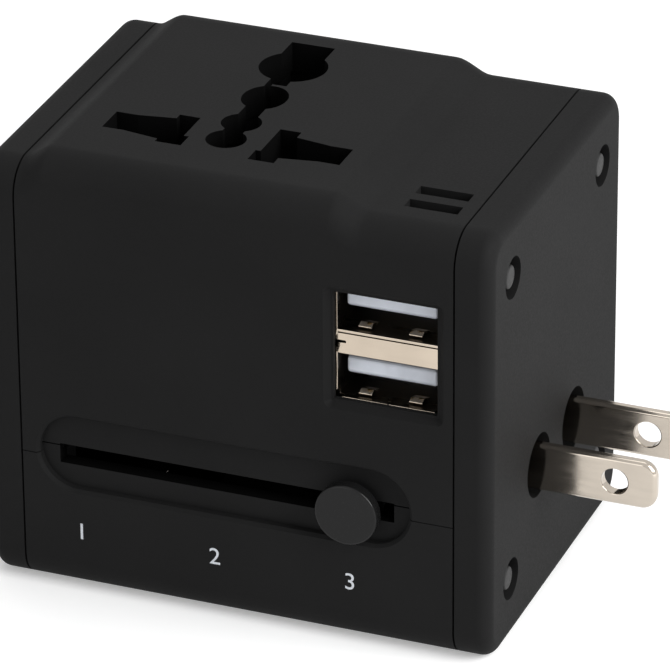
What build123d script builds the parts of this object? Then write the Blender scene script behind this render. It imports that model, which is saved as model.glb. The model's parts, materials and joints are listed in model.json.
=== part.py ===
from build123d import *
import math
import os

os.makedirs("parts", exist_ok=True)

# Travel adapter in millimetres. X runs along the front face towards the flat blades,
# the front face looks to -Y, +Z is up, and the origin is the centre of the base.

# Casing
casing_width = 65.4
casing_depth = 47.6
casing_height = 56.9
platform_rise = 1.7
plate_thickness = 4.5
wall = 2.0
long_edge_radius = 4.2
plate_edge_radius = 1.8
rim_length = 1.2
seam_gap = 0.25
split_height = 18.5
split_gap = 0.12
lip_height = 0.9
lip_thickness = 0.9
left_ramp_length = 3.7
platform_end_x = 11.7
right_ramp_length = 4.7

# Clearances
fit_gap = 0.15
slide_gap = 0.25
bore_gap = 0.07

# Selector slot and knob
slot_centre_z = 18.4
slot_height = 2.6
slot_left_x = -23.5
slot_right_x = 20.1
recess_margin = 2.3
recess_height = 10.0
recess_centre_z = 19.2
recess_depth = 1.2
recess_bevel = 0.4
slot_wall = 2.0
knob_diameter = 8.0
knob_x = 14.8
knob_proud = 1.5
knob_thickness = 1.75
knob_travel = 0.8
selector_step = 17.6
selector_steps = 2
neck_width = 4.4
collar_diameter = 6.4
collar_thickness = 1.0
spigot_diameter = 3.6
knob_edge_radius = 0.35

# Flat blades that turn
blade_spacing = 12.7
blade_width = 6.3
blade_thickness = 1.5
blade_reach = 15.2
blade_z = 19.1
blade_tip_radius = 2.0
blade_hole_diameter = 3.4
blade_hole_from_tip = 5.3
blade_opening_diameter = 8.2
turret_diameter = 8.8
turret_length = 9.6

# Rectangular three-pin plug
uk_row_z = 9.6
uk_spacing = 22.2
uk_earth_rise = 22.2
uk_pin_width = 6.35
uk_pin_thickness = 3.95
uk_earth_width = 7.95
uk_pin_reach = 17.7
uk_earth_reach = 22.7
uk_sleeve_reach = 9.5
uk_sleeve_wall = 0.4
pin_tip_chamfer = 0.9

# Carriage
carriage_length = 19.7
carriage_gap_right = 0.7
head_length = 7.5
head_side_margin = 0.6
column_half_depth = 4.2
body_half_depth = 11.6
carriage_base_z = 6.5
pin_wall = 0.6
turret_wall = 0.9
boss_size = 8.0
boss_depth = 5.0

# Round-pin plug that folds out of the back
euro_axis_z = 9.8
euro_block_thickness = 5.6
euro_block_width = 27.0
euro_block_length = 18.0
euro_pin_spacing = 19.0
euro_pin_diameter = 4.0
euro_pin_length = 19.0
euro_pin_root = 5.0
euro_sleeve_length = 10.0
euro_sleeve_wall = 0.5
hinge_pin_diameter = 2.0
tray_gap = 0.6
tray_side_gap = 0.4
tray_wall = 1.2
tray_pin_clearance = 2.125
tray_block_gap = 1.0

# Socket on the top face
socket_x = -5.65
socket_row_y = -10.8
socket_us_spacing = 12.9
us_slot_width = 2.7
us_live_slot_height = 7.9
us_neutral_slot_height = 9.0
us_slot_low_y = -14.6
us_neutral_slot_low_y = -15.3
us_foot_width = 0.65
us_foot_height = 2.6
uk_slot_outer = 15.3
uk_slot_height = 4.5
flare_length = 12.5
flare_rise = 1.0
chain_radius = 2.5
chain_neck = 2.6
chain_first_y = -11.1
chain_second_y = -6.2
us_earth_y = 1.4
us_earth_width = 5.7
us_earth_height = 6.8
ground_well_margin = 0.2
ground_slit_width = 0.8
ground_slit_offset = 0.95
earth_hole_radius = 4.3
earth_hole_y = 10.8
earth_slot_width = 5.7
earth_slot_end_y = 17.6
earth_tip_width = 2.5
earth_tip_y = 5.25
well_margin = 0.9
well_floor_z = 40.5
ground_floor_z = 37.7
earth_floor_z = 35.9
block_floor = 0.8
block_left_x = -25.0
block_right_x = 12.35
contact_thickness = 0.4
contact_top_gap = 2.7
contact_spread = 0.15
leg_width = 2.0

# Current rails and wipers
rail_width = 3.0
rail_thickness = 0.8
rail_top_z = 34.2
rail_left_x = -26.0
wiper_width = 2.0
wiper_thickness = 0.4
wiper_body_gap = 0.8
wiper_lean_height = 4.0
wiper_lean = 2.0
wiper_tip = 1.4

# Charger
usb_centre_x = 19.2
usb_centre_z = 40.02
usb_width = 13.4
usb_height = 15.0
usb_depth = 13.2
usb_setback = 1.5
usb_sheet = 0.35
usb_web_low_z = 38.65
usb_web_high_z = 41.82
usb_window_width = 13.2
usb_window_height = 14.3
usb_lip_gap = 0.1
usb_bezel = 1.0
usb_bezel_depth = 0.7
usb_bezel_radius = 1.0
usb_fold_depth = 0.8
usb_joint_gap = 0.15
tongue_width = 11.4
tongue_thickness = 2.2
tongue_rise = 2.55
tongue_setback = 1.5
tongue_base = 2.4
tab_offset = 3.2
tab_width = 1.7
tab_length = 2.5
tab_height = 0.55
tab_setback = 0.9
contact_pitch = 2.3
contact_width = 1.0
contact_length = 6.9
port_contact_thickness = 0.2
board_thickness = 1.6
board_gap = 0.2
ledge_height = 1.8
board_left_x = 15.8
part_gap = 0.1
core_inset = 0.8
core_end_gap = 1.6
core_half_depth = 5.5
core_height = 10.7
core_leg = 2.2
winding_half_depth = 3.25
winding_radius = 1.2
capacitor_radius = 2.7
capacitor_height = 9.5
capacitor_pitch = 5.8
capacitor_y = 9.6
capacitor_crimp = 0.35
fuse_radius = 1.9
fuse_length = 10.0
fuse_y = 16.6
fuse_cap_length = 2.2

# Plate pins
pin_recess_diameter = 5.3
pin_recess_depth = 2.6
pin_head_diameter = 2.6
pin_head_setback = 0.9
plate_pin_length = 9.0
post_diameter = 5.2
post_length = 8.5
right_pin_y = 16.2
left_pin_y = 18.4
upper_pin_z = 49.2
lower_pin_z = 8.5

# Vents above the charger
vent_x = 22.8
vent_length = 6.7
vent_width = 2.0
vent_rows_y = (-16.4, -12.7)

# Derived planes
half_width = casing_width / 2
half_depth = casing_depth / 2
plate_inner_x = half_width - plate_thickness
shell_end_x = plate_inner_x - seam_gap
inner_end_x = plate_inner_x - rim_length - fit_gap
platform_top = casing_height + platform_rise
ceiling_z = casing_height - wall - 0.2
inner_half_depth = half_depth - wall
inner_radius = long_edge_radius - wall
recess_floor_y = -half_depth + recess_depth
slot_back_y = recess_floor_y + slot_wall
carriage_right_x = plate_inner_x - carriage_gap_right
carriage_left_x = carriage_right_x - carriage_length
head_right_x = carriage_left_x + head_length
tray_outer_y = uk_spacing / 2 + uk_pin_width / 2 + tray_pin_clearance
tray_floor_y = tray_outer_y + tray_wall
euro_axis_y = tray_floor_y + tray_side_gap + euro_block_thickness / 2
block_half_depth = tray_outer_y - tray_block_gap
block_base_z = well_floor_z - block_floor
rail_right_x = block_right_x
wiper_y = body_half_depth + wiper_body_gap + wiper_width / 2
rail_y = wiper_y
head_half_depth = wiper_y + wiper_width / 2 + head_side_margin
contact_top_z = ceiling_z - contact_top_gap
selector_travel = selector_step * selector_steps
leg_y = socket_row_y - uk_slot_height / 2 - contact_spread
leg_x = socket_x - uk_slot_outer + 3.0
link_y = socket_row_y + uk_slot_height / 2 + contact_spread
arm_start_x = socket_x + uk_slot_outer + 0.1 + contact_thickness / 2 + 0.02
usb_x = (usb_centre_x - usb_width / 2, usb_centre_x + usb_width / 2)
usb_z = (usb_centre_z - usb_height / 2, usb_centre_z + usb_height / 2)
usb_y = (-half_depth + usb_setback, -half_depth + usb_setback + usb_depth)
board_top_z = usb_z[0] - board_gap
board_bottom_z = board_top_z - board_thickness


def block(x, y, z, mode=Mode.ADD):
    """A rectangular block between three pairs of limits."""
    middle = ((x[0] + x[1]) / 2, (y[0] + y[1]) / 2, (z[0] + z[1]) / 2)
    with Locations(middle):
        Box(x[1] - x[0], y[1] - y[0], z[1] - z[0], mode=mode)


def span(centre, size):
    """The two limits of a size about its centre."""
    return (centre - size / 2, centre + size / 2)


def crown_section(x, top):
    """Half of the sleeve's outline above the split, with its two rounded long edges."""
    radius = long_edge_radius
    low = split_height + split_gap / 2
    flat = half_depth - radius
    arc_mid = radius * math.sqrt(0.5)
    with BuildSketch(Plane.YZ.offset(x)) as section:
        with BuildLine():
            Line((-half_depth, low), (-half_depth, top - radius))
            ThreePointArc(
                (-half_depth, top - radius),
                (-flat - arc_mid, top - radius + arc_mid),
                (-flat, top),
            )
            Line((-flat, top), (flat, top))
            ThreePointArc(
                (flat, top),
                (flat + arc_mid, top - radius + arc_mid),
                (half_depth, top - radius),
            )
            Line((half_depth, top - radius), (half_depth, low))
            Line((half_depth, low), (-half_depth, low))
        make_face()
    return section.sketch


def ramp_sections(low_x, high_x):
    """Sections of an S-shaped rise from the ledge to the platform."""
    steps = 6
    sections = []
    for i in range(steps + 1):
        share = i / steps
        rise = platform_rise * (1 - math.cos(math.pi * share)) / 2
        sections.append(crown_section(low_x + (high_x - low_x) * share, casing_height + rise))
    return sections


def plate_pin_places(side_y):
    """The four pin places of an end plate, as (y, z)."""
    return [(y, z) for y in (-side_y, side_y) for z in (lower_pin_z, upper_pin_z)]


def us_slot(side):
    """Place and height of a flat blade's slot, as (x, y, height)."""
    low_y, height = (
        (us_slot_low_y, us_live_slot_height)
        if side < 0
        else (us_neutral_slot_low_y, us_neutral_slot_height)
    )
    return socket_x + side * socket_us_spacing / 2, low_y + height / 2, height


def socket_openings(grow=0.0):
    """The apertures of the socket face, seen from above, grown by a margin."""
    with BuildSketch() as openings:
        for side in (-1, 1):
            slot_x, slot_y, slot_height = us_slot(side)
            with Locations((slot_x, slot_y)):
                Rectangle(us_slot_width + 2 * grow, slot_height + 2 * grow)
            uk_outer_x = socket_x + side * uk_slot_outer
            with Locations(((slot_x + uk_outer_x) / 2, socket_row_y)):
                Rectangle(abs(uk_outer_x - slot_x) + 2 * grow, uk_slot_height + 2 * grow)
            flare_x = socket_x + side * flare_length
            near = uk_slot_height / 2 + flare_rise + grow
            far = uk_slot_height / 2 + grow
            with BuildLine():
                Polyline(
                    (slot_x, socket_row_y + near),
                    (flare_x, socket_row_y + far),
                    (flare_x, socket_row_y - far),
                    (slot_x, socket_row_y - near),
                    close=True,
                )
            make_face()
            foot_x = slot_x - side * us_foot_width
            with Locations((foot_x, slot_y - slot_height / 2 + us_foot_height / 2)):
                Rectangle(us_slot_width + 2 * grow, us_foot_height + 2 * grow)
        with Locations((socket_x, chain_first_y), (socket_x, chain_second_y)):
            Circle(chain_radius + grow)
        with Locations((socket_x, (chain_first_y + us_earth_y) / 2)):
            Rectangle(chain_neck + 2 * grow, us_earth_y - chain_first_y)
        with Locations((socket_x, us_earth_y)):
            Ellipse(us_earth_width / 2 + grow, us_earth_height / 2 + grow)
        with Locations((socket_x, earth_hole_y)):
            Circle(earth_hole_radius + grow)
        with Locations((socket_x, (earth_hole_y + earth_slot_end_y) / 2)):
            Rectangle(earth_slot_width + 2 * grow, earth_slot_end_y - earth_hole_y + 2 * grow)
        with Locations((socket_x, (earth_hole_y + earth_tip_y) / 2)):
            Rectangle(earth_tip_width + 2 * grow, earth_hole_y - earth_tip_y + 2 * grow)
        with Locations((socket_x - ground_slit_offset, (us_earth_y + earth_hole_y) / 2)):
            Rectangle(ground_slit_width + 2 * grow, earth_hole_y - us_earth_y)
    return openings.sketch


def shell_posts(side_y, z, sign):
    """Two pin posts at one end of the sleeve, tied to the wall by a rib."""
    start = shell_end_x if sign > 0 else -shell_end_x
    plane = Plane.YZ.offset(start)
    wall_z = ceiling_z if z > split_height else wall
    for y in (-side_y, side_y):
        with BuildSketch(plane) as outline:
            with Locations((y, z)):
                Circle(post_diameter / 2)
            side = inner_half_depth if y > 0 else -inner_half_depth
            with Locations(((y + side) / 2, z)):
                Rectangle(abs(side - y) + 0.2, 1.6)
            with Locations((y, (z + wall_z) / 2)):
                Rectangle(1.6, abs(wall_z - z) + 0.2)
        extrude(outline.sketch, amount=-sign * post_length)
        with BuildSketch(plane) as pilot:
            with Locations((y, z)):
                Circle(pin_head_diameter / 2 + bore_gap)
        extrude(pilot.sketch, amount=-sign * post_length, mode=Mode.SUBTRACT)


# Euro tray place, shared by the casing's window and the tray itself
tray_inner_low_z = euro_axis_z - euro_block_thickness / 2 - tray_gap
tray_inner_high_z = euro_axis_z + euro_block_length + euro_pin_length + tray_gap
tray_inner_half_width = euro_block_width / 2 + tray_side_gap
tray_outer_z = (tray_inner_low_z - tray_wall, tray_inner_high_z + tray_wall)
tray_outer_half_width = tray_inner_half_width + tray_wall


def tray_window():
    """The opening in the back wall that the tray fills."""
    half = tray_outer_half_width + fit_gap
    low = tray_outer_z[0] - fit_gap
    high = tray_outer_z[1] + fit_gap
    block((-half, half), (inner_half_depth - 1, half_depth + 1), (low, high), Mode.SUBTRACT)


def slot_recess():
    """The sunk track round the selector slot, its bevelled rim and the slot through the wall."""
    recess_width = slot_right_x - slot_left_x + 2 * recess_margin
    slot_mid_x = (slot_left_x + slot_right_x) / 2
    front = Plane.XZ.offset(half_depth)
    with BuildSketch(front) as rim:
        with Locations((slot_mid_x, recess_centre_z)):
            SlotOverall(recess_width + 2 * recess_bevel, recess_height + 2 * recess_bevel)
    extrude(rim.sketch, amount=-recess_bevel, taper=45, mode=Mode.SUBTRACT)
    with BuildSketch(front) as track:
        with Locations((slot_mid_x, recess_centre_z)):
            SlotOverall(recess_width, recess_height)
    extrude(track.sketch, amount=-recess_depth, mode=Mode.SUBTRACT)
    with BuildSketch(front) as through:
        with Locations((slot_mid_x, slot_centre_z)):
            Rectangle(slot_right_x - slot_left_x, slot_height)
    extrude(through.sketch, amount=-(recess_depth + slot_wall + 1), mode=Mode.SUBTRACT)


def slot_pad(low, high):
    """The thickened wall behind the track."""
    pad_x = (slot_left_x - recess_margin - 1, slot_right_x + recess_margin + 1)
    block(pad_x, (-inner_half_depth - 0.2, slot_back_y), (low, high))


# Upper shell: sleeve half with the socket platform, the charger window and the vents
with BuildPart() as upper_shell:
    left_end = -shell_end_x
    platform_start_x = left_end + left_ramp_length
    ledge_start_x = platform_end_x + right_ramp_length
    loft(ramp_sections(left_end, platform_start_x))
    extrude(crown_section(platform_start_x, platform_top), amount=platform_end_x - platform_start_x)
    loft(ramp_sections(ledge_start_x, platform_end_x))
    extrude(crown_section(ledge_start_x, casing_height), amount=shell_end_x - ledge_start_x)
    with BuildSketch(Plane.YZ.offset(left_end)) as tunnel:
        with Locations((0, (ceiling_z + split_height - wall) / 2)):
            RectangleRounded(2 * inner_half_depth, ceiling_z - split_height + wall, inner_radius)
    extrude(tunnel.sketch, amount=2 * shell_end_x, mode=Mode.SUBTRACT)
    shell_posts(right_pin_y, upper_pin_z, 1)
    shell_posts(left_pin_y, upper_pin_z, -1)
    slot_pad(split_height + split_gap / 2, recess_centre_z + recess_height / 2 + 1.8)
    slot_recess()
    tray_window()
    # A groove inside the split for the lower shell's lip
    groove_y = (inner_half_depth - 0.2, inner_half_depth + lip_thickness + fit_gap)
    for side in (-1, 1):
        block(
            (-shell_end_x, shell_end_x),
            tuple(sorted((side * groove_y[0], side * groove_y[1]))),
            (split_height - 1, split_height + lip_height + fit_gap),
            Mode.SUBTRACT,
        )
    # Ledges that carry the charger board
    for side in (-1, 1):
        ledge_y = sorted((side * (inner_half_depth + 0.2), side * (inner_half_depth - 1.6)))
        block((board_left_x, inner_end_x), tuple(ledge_y), (board_bottom_z - ledge_height, board_bottom_z))
    # Pocket behind the window's lip, which the receptacle fills
    block(
        (usb_x[0] - usb_lip_gap, usb_x[1] + usb_lip_gap),
        (usb_y[0] - usb_lip_gap, usb_y[1] + fit_gap),
        (usb_z[0] - usb_lip_gap, usb_z[1] + usb_lip_gap),
        Mode.SUBTRACT,
    )
    # Room above the board between the walls
    block(
        (usb_x[0] - usb_lip_gap, usb_x[1] + usb_lip_gap),
        (-inner_half_depth, usb_y[1] + fit_gap),
        (board_bottom_z, usb_z[0]),
        Mode.SUBTRACT,
    )
    # Charger window with its bevel
    with BuildSketch(Plane.XZ.offset(half_depth)) as bezel:
        with Locations((usb_centre_x, usb_centre_z)):
            RectangleRounded(
                usb_window_width + 2 * usb_bezel, usb_window_height + 2 * usb_bezel, usb_bezel_radius
            )
    extrude(bezel.sketch, amount=-usb_bezel_depth, taper=45, mode=Mode.SUBTRACT)
    with BuildSketch(Plane.XZ.offset(half_depth)) as window:
        with Locations((usb_centre_x, usb_centre_z)):
            Rectangle(usb_window_width, usb_window_height)
    extrude(window.sketch, amount=-wall, mode=Mode.SUBTRACT)
    # Socket apertures and vents
    with BuildSketch(Plane.XY.offset(platform_top + 1)) as apertures:
        add(socket_openings())
    extrude(apertures.sketch, amount=-(platform_top - ceiling_z + 2), mode=Mode.SUBTRACT)
    with BuildSketch(Plane.XY.offset(platform_top)) as vents:
        for y in vent_rows_y:
            with Locations((vent_x, y)):
                Rectangle(vent_length, vent_width)
    extrude(vents.sketch, amount=-(platform_top - ceiling_z + 1), mode=Mode.SUBTRACT)

# Lower shell: floor half of the sleeve, with the carriage's guide ribs and the lip
rib_y = 9.0
rib_width = 1.8
rib_top_z = carriage_base_z - slide_gap
notch_radius = 1.3
middle_rib_top_z = carriage_base_z - 0.9
with BuildPart() as lower_shell:
    with BuildSketch(Plane.YZ.offset(-shell_end_x)) as channel:
        with Locations((0, casing_height / 2)):
            RectangleRounded(casing_depth, casing_height, long_edge_radius)
        with Locations((0, (wall + casing_height) / 2)):
            RectangleRounded(
                2 * inner_half_depth, casing_height - wall, inner_radius, mode=Mode.SUBTRACT
            )
    extrude(channel.sketch, amount=2 * shell_end_x)
    block(
        (-half_width, half_width),
        (-half_depth - 1, half_depth + 1),
        (split_height - split_gap / 2, casing_height + 1),
        Mode.SUBTRACT,
    )
    for side in (-1, 1):
        lip_y = sorted((side * inner_half_depth, side * (inner_half_depth + lip_thickness)))
        block((-shell_end_x, shell_end_x), tuple(lip_y), (split_height - 1, split_height + lip_height))
    shell_posts(right_pin_y, lower_pin_z, 1)
    shell_posts(left_pin_y, lower_pin_z, -1)
    slot_pad(recess_centre_z - recess_height / 2 - 2.2, split_height - split_gap / 2)
    for y in (-rib_y, rib_y):
        block((-shell_end_x + 1, shell_end_x - 1), span(y, rib_width), (wall - 0.2, rib_top_z))
    # Three notches in the middle rib mark the selector's positions
    detent_x = carriage_left_x + head_length / 2
    with BuildSketch(Plane.XZ) as middle_rib:
        with Locations((0, (wall + middle_rib_top_z) / 2)):
            Rectangle(2 * shell_end_x - 2, middle_rib_top_z - wall + 0.2)
        for step in range(selector_steps + 1):
            with Locations((detent_x - step * selector_step, middle_rib_top_z + 0.6)):
                Circle(notch_radius, mode=Mode.SUBTRACT)
    extrude(middle_rib.sketch, amount=rib_width / 2, both=True)
    slot_recess()
    tray_window()


def end_plate_blank(sign):
    """A rounded end plate with its locating rim."""
    inner = sign * plate_inner_x
    with BuildSketch(Plane.YZ.offset(inner)) as outline:
        with Locations((0, casing_height / 2)):
            RectangleRounded(casing_depth, casing_height, long_edge_radius)
    extrude(outline.sketch, amount=sign * plate_thickness)
    with BuildSketch(Plane.YZ.offset(inner)) as rim:
        rim_centre_z = (wall + ceiling_z) / 2
        rim_depth = 2 * (inner_half_depth - fit_gap)
        rim_height = ceiling_z - wall - 2 * fit_gap
        with Locations((0, rim_centre_z)):
            RectangleRounded(rim_depth, rim_height, inner_radius)
            RectangleRounded(rim_depth - 2, rim_height - 2, inner_radius - 1, mode=Mode.SUBTRACT)
    extrude(rim.sketch, amount=-sign * rim_length)


def plate_pin_holes(sign, side_y):
    """The counterbored pin holes of an end plate."""
    outer = Plane.YZ.offset(sign * half_width)
    with BuildSketch(outer) as recesses:
        with Locations(*plate_pin_places(side_y)):
            Circle(pin_recess_diameter / 2)
    extrude(recesses.sketch, amount=-sign * pin_recess_depth, mode=Mode.SUBTRACT)
    with BuildSketch(outer) as holes:
        with Locations(*plate_pin_places(side_y)):
            Circle(pin_head_diameter / 2 + bore_gap)
    extrude(holes.sketch, amount=-sign * (plate_thickness + rim_length + 1), mode=Mode.SUBTRACT)


def post_relief(sign, side_y):
    """Gaps in the rim where the shell posts reach the plate."""
    inner = sign * plate_inner_x
    with BuildSketch(Plane.YZ.offset(inner)) as relief:
        for y, z in plate_pin_places(side_y):
            side = inner_half_depth if y > 0 else -inner_half_depth
            wall_z = ceiling_z if z > split_height else wall
            with Locations((y, z)):
                Circle(post_diameter / 2 + 0.3)
            with Locations(((y + side) / 2, z)):
                Rectangle(abs(side - y) + 1, 2.4)
            with Locations((y, (z + wall_z) / 2)):
                Rectangle(2.4, abs(wall_z - z) + 1)
    extrude(relief.sketch, amount=-sign * rim_length, mode=Mode.SUBTRACT)


# Right end plate with the two round blade openings
with BuildPart() as right_end_plate:
    end_plate_blank(1)
    post_relief(1, right_pin_y)
    fillet(right_end_plate.faces().sort_by(Axis.X)[-1].outer_wire().edges(), plate_edge_radius)
    plate_pin_holes(1, right_pin_y)
    with BuildSketch(Plane.YZ.offset(half_width)) as blade_openings:
        with Locations((-blade_spacing / 2, blade_z), (blade_spacing / 2, blade_z)):
            Circle(blade_opening_diameter / 2)
    extrude(blade_openings.sketch, amount=-plate_thickness - 1, mode=Mode.SUBTRACT)

# Left end plate with the three rectangular pin openings
pin_window_gap = 0.35
with BuildPart() as left_end_plate:
    end_plate_blank(-1)
    post_relief(-1, left_pin_y)
    fillet(left_end_plate.faces().sort_by(Axis.X)[0].outer_wire().edges(), plate_edge_radius)
    plate_pin_holes(-1, left_pin_y)
    with BuildSketch(Plane.YZ.offset(-half_width)) as pin_windows:
        with Locations((-uk_spacing / 2, uk_row_z), (uk_spacing / 2, uk_row_z)):
            Rectangle(uk_pin_width + 2 * pin_window_gap, uk_pin_thickness + 2 * pin_window_gap)
        with Locations((0, uk_row_z + uk_earth_rise)):
            Rectangle(uk_pin_thickness + 2 * pin_window_gap, uk_earth_width + 2 * pin_window_gap)
    extrude(pin_windows.sketch, amount=plate_thickness + 1, mode=Mode.SUBTRACT)


def plate_pins(sign, side_y):
    """Four pressed pins whose domed heads stand in the counterbores."""
    start = sign * (half_width - pin_head_setback)
    with BuildSketch(Plane.YZ.offset(start)) as heads:
        with Locations(*plate_pin_places(side_y)):
            Circle(pin_head_diameter / 2)
    extrude(heads.sketch, amount=-sign * plate_pin_length)


with BuildPart() as right_plate_pins:
    plate_pins(1, right_pin_y)
    chamfer(right_plate_pins.faces().group_by(Axis.X)[-1].edges(), 0.3)

with BuildPart() as left_plate_pins:
    plate_pins(-1, left_pin_y)
    chamfer(left_plate_pins.faces().group_by(Axis.X)[0].edges(), 0.3)

# Carriage: the sliding block that carries the three-pin plug and the turning blades
turret_bore = turret_diameter / 2 + bore_gap
body_low_z = blade_z - turret_bore - turret_wall
body_high_z = blade_z + turret_bore + turret_wall
head_bar_high_z = uk_row_z + uk_pin_thickness / 2 + 2.2
column_high_z = uk_row_z + uk_earth_rise + uk_earth_width / 2 + pin_wall
turret_back_x = carriage_right_x - turret_length
pin_root_x = head_right_x - 1.0
boss_front_y = -body_half_depth - boss_depth
carriage_fit = 0.05
with BuildPart() as carriage:
    with BuildSketch(Plane.YZ.offset(carriage_left_x)) as head:
        head_points = [
            (-head_half_depth, carriage_base_z),
            (head_half_depth, carriage_base_z),
            (head_half_depth, head_bar_high_z),
            (body_half_depth, head_bar_high_z),
            (body_half_depth, body_high_z),
            (column_half_depth, body_high_z),
            (column_half_depth, column_high_z),
            (-column_half_depth, column_high_z),
            (-column_half_depth, body_high_z),
            (-body_half_depth, body_high_z),
            (-body_half_depth, head_bar_high_z),
            (-head_half_depth, head_bar_high_z),
        ]
        with BuildLine():
            Polyline(*head_points, close=True)
        make_face()
    extrude(head.sketch, amount=head_length)
    with BuildSketch(Plane.YZ.offset(carriage_left_x)) as body:
        with Locations((0, (body_low_z + body_high_z) / 2)):
            RectangleRounded(2 * body_half_depth, body_high_z - body_low_z, 1.5)
    extrude(body.sketch, amount=carriage_length)
    with BuildSketch(Plane.XZ.offset(body_half_depth - 1)) as boss:
        with Locations((knob_x, slot_centre_z)):
            RectangleRounded(boss_size, boss_size, 1.2)
    extrude(boss.sketch, amount=boss_depth + 1)
    with BuildSketch(Plane.YZ.offset(carriage_right_x)) as turret_bores:
        with Locations((-blade_spacing / 2, blade_z), (blade_spacing / 2, blade_z)):
            Circle(turret_bore)
    extrude(turret_bores.sketch, amount=-turret_length, mode=Mode.SUBTRACT)
    with BuildSketch(Plane.XZ.offset(-boss_front_y)) as spigot_bore:
        with Locations((knob_x, slot_centre_z)):
            Circle(spigot_diameter / 2 + bore_gap)
    extrude(spigot_bore.sketch, amount=-(boss_depth - 0.6), mode=Mode.SUBTRACT)
    with BuildSketch(Plane.YZ.offset(carriage_left_x)) as pin_seats:
        with Locations((-uk_spacing / 2, uk_row_z), (uk_spacing / 2, uk_row_z)):
            Rectangle(uk_pin_width + 2 * carriage_fit, uk_pin_thickness + 2 * carriage_fit)
        with Locations((0, uk_row_z + uk_earth_rise)):
            Rectangle(uk_pin_thickness + 2 * carriage_fit, uk_earth_width + 2 * carriage_fit)
    extrude(pin_seats.sketch, amount=pin_root_x - carriage_left_x, mode=Mode.SUBTRACT)
    # Pockets that keep the column's walls even
    for side in (-1, 1):
        pocket_y = sorted((side * column_half_depth, side * (column_half_depth - 1.2)))
        block(
            (carriage_left_x + 1.2, head_right_x - 1.2),
            tuple(pocket_y),
            (body_high_z + 1.2, uk_row_z + uk_earth_rise - uk_earth_width / 2 - 1.0),
            Mode.SUBTRACT,
        )

# Rectangular pins of the three-pin plug, drawn in while the flat blades are out
uk_tip_x = selector_travel - half_width - uk_pin_reach
uk_earth_tip_x = selector_travel - half_width - uk_earth_reach
uk_sleeve_end_x = selector_travel - half_width - uk_sleeve_reach
uk_pins = {}
for name, y in (("uk_live_pin", -uk_spacing / 2), ("uk_neutral_pin", uk_spacing / 2)):
    with BuildPart() as pin:
        block(
            (uk_tip_x, pin_root_x),
            span(y, uk_pin_width),
            span(uk_row_z, uk_pin_thickness),
        )
        chamfer(pin.faces().sort_by(Axis.X)[0].edges(), pin_tip_chamfer)
        # The waist that the insulating sleeve fills
        with BuildSketch(Plane.YZ.offset(uk_sleeve_end_x)) as waist:
            with Locations((y, uk_row_z)):
                Rectangle(uk_pin_width, uk_pin_thickness)
                Rectangle(
                    uk_pin_width - 2 * uk_sleeve_wall,
                    uk_pin_thickness - 2 * uk_sleeve_wall,
                    mode=Mode.SUBTRACT,
                )
        extrude(waist.sketch, amount=carriage_left_x - uk_sleeve_end_x, mode=Mode.SUBTRACT)
    uk_pins[name] = pin

with BuildPart() as uk_pin_sleeves:
    with BuildSketch(Plane.YZ.offset(uk_sleeve_end_x)) as sleeves:
        with Locations((-uk_spacing / 2, uk_row_z), (uk_spacing / 2, uk_row_z)):
            Rectangle(uk_pin_width, uk_pin_thickness)
            Rectangle(
                uk_pin_width - 2 * uk_sleeve_wall,
                uk_pin_thickness - 2 * uk_sleeve_wall,
                mode=Mode.SUBTRACT,
            )
    extrude(sleeves.sketch, amount=carriage_left_x - uk_sleeve_end_x)

with BuildPart() as uk_earth_pin:
    block(
        (uk_earth_tip_x, pin_root_x),
        span(0, uk_pin_thickness),
        span(uk_row_z + uk_earth_rise, uk_earth_width),
    )
    chamfer(uk_earth_pin.faces().sort_by(Axis.X)[0].edges(), pin_tip_chamfer)

# Round turrets that carry the flat blades and let them turn
blade_tip_x = half_width + blade_reach
blade_root_x = turret_back_x + 1.0
turret_gap = 0.15
blades = {}
turrets = {}
for name, y in (("front_blade", -blade_spacing / 2), ("rear_blade", blade_spacing / 2)):
    with BuildPart() as turret:
        with BuildSketch(Plane.YZ.offset(turret_back_x + turret_gap)) as barrel:
            with Locations((y, blade_z)):
                Circle(turret_diameter / 2)
        extrude(barrel.sketch, amount=turret_length - turret_gap)
        chamfer(turret.edges().filter_by(GeomType.CIRCLE), 0.4)
        with BuildSketch(Plane.YZ.offset(blade_root_x)) as blade_seat:
            with Locations((y, blade_z)):
                Rectangle(blade_thickness + 2 * carriage_fit, blade_width + 2 * carriage_fit)
        extrude(blade_seat.sketch, amount=turret_length, mode=Mode.SUBTRACT)
    turrets[name] = turret
    with BuildPart() as blade:
        with BuildSketch(Plane.XZ.offset(-y)) as side_view:
            with Locations(((blade_root_x + blade_tip_x) / 2, blade_z)):
                Rectangle(blade_tip_x - blade_root_x, blade_width)
            fillet(side_view.vertices().group_by(Axis.X)[-1], blade_tip_radius)
            with Locations((blade_tip_x - blade_hole_from_tip, blade_z)):
                Circle(blade_hole_diameter / 2, mode=Mode.SUBTRACT)
        extrude(side_view.sketch, amount=blade_thickness / 2, both=True)
        tip_face_edges = blade.edges().filter_by(lambda e: e.center().X > blade_tip_x - 0.05)
        chamfer(tip_face_edges.filter_by(Axis.Z), 0.35)
    blades[name] = blade

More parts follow.
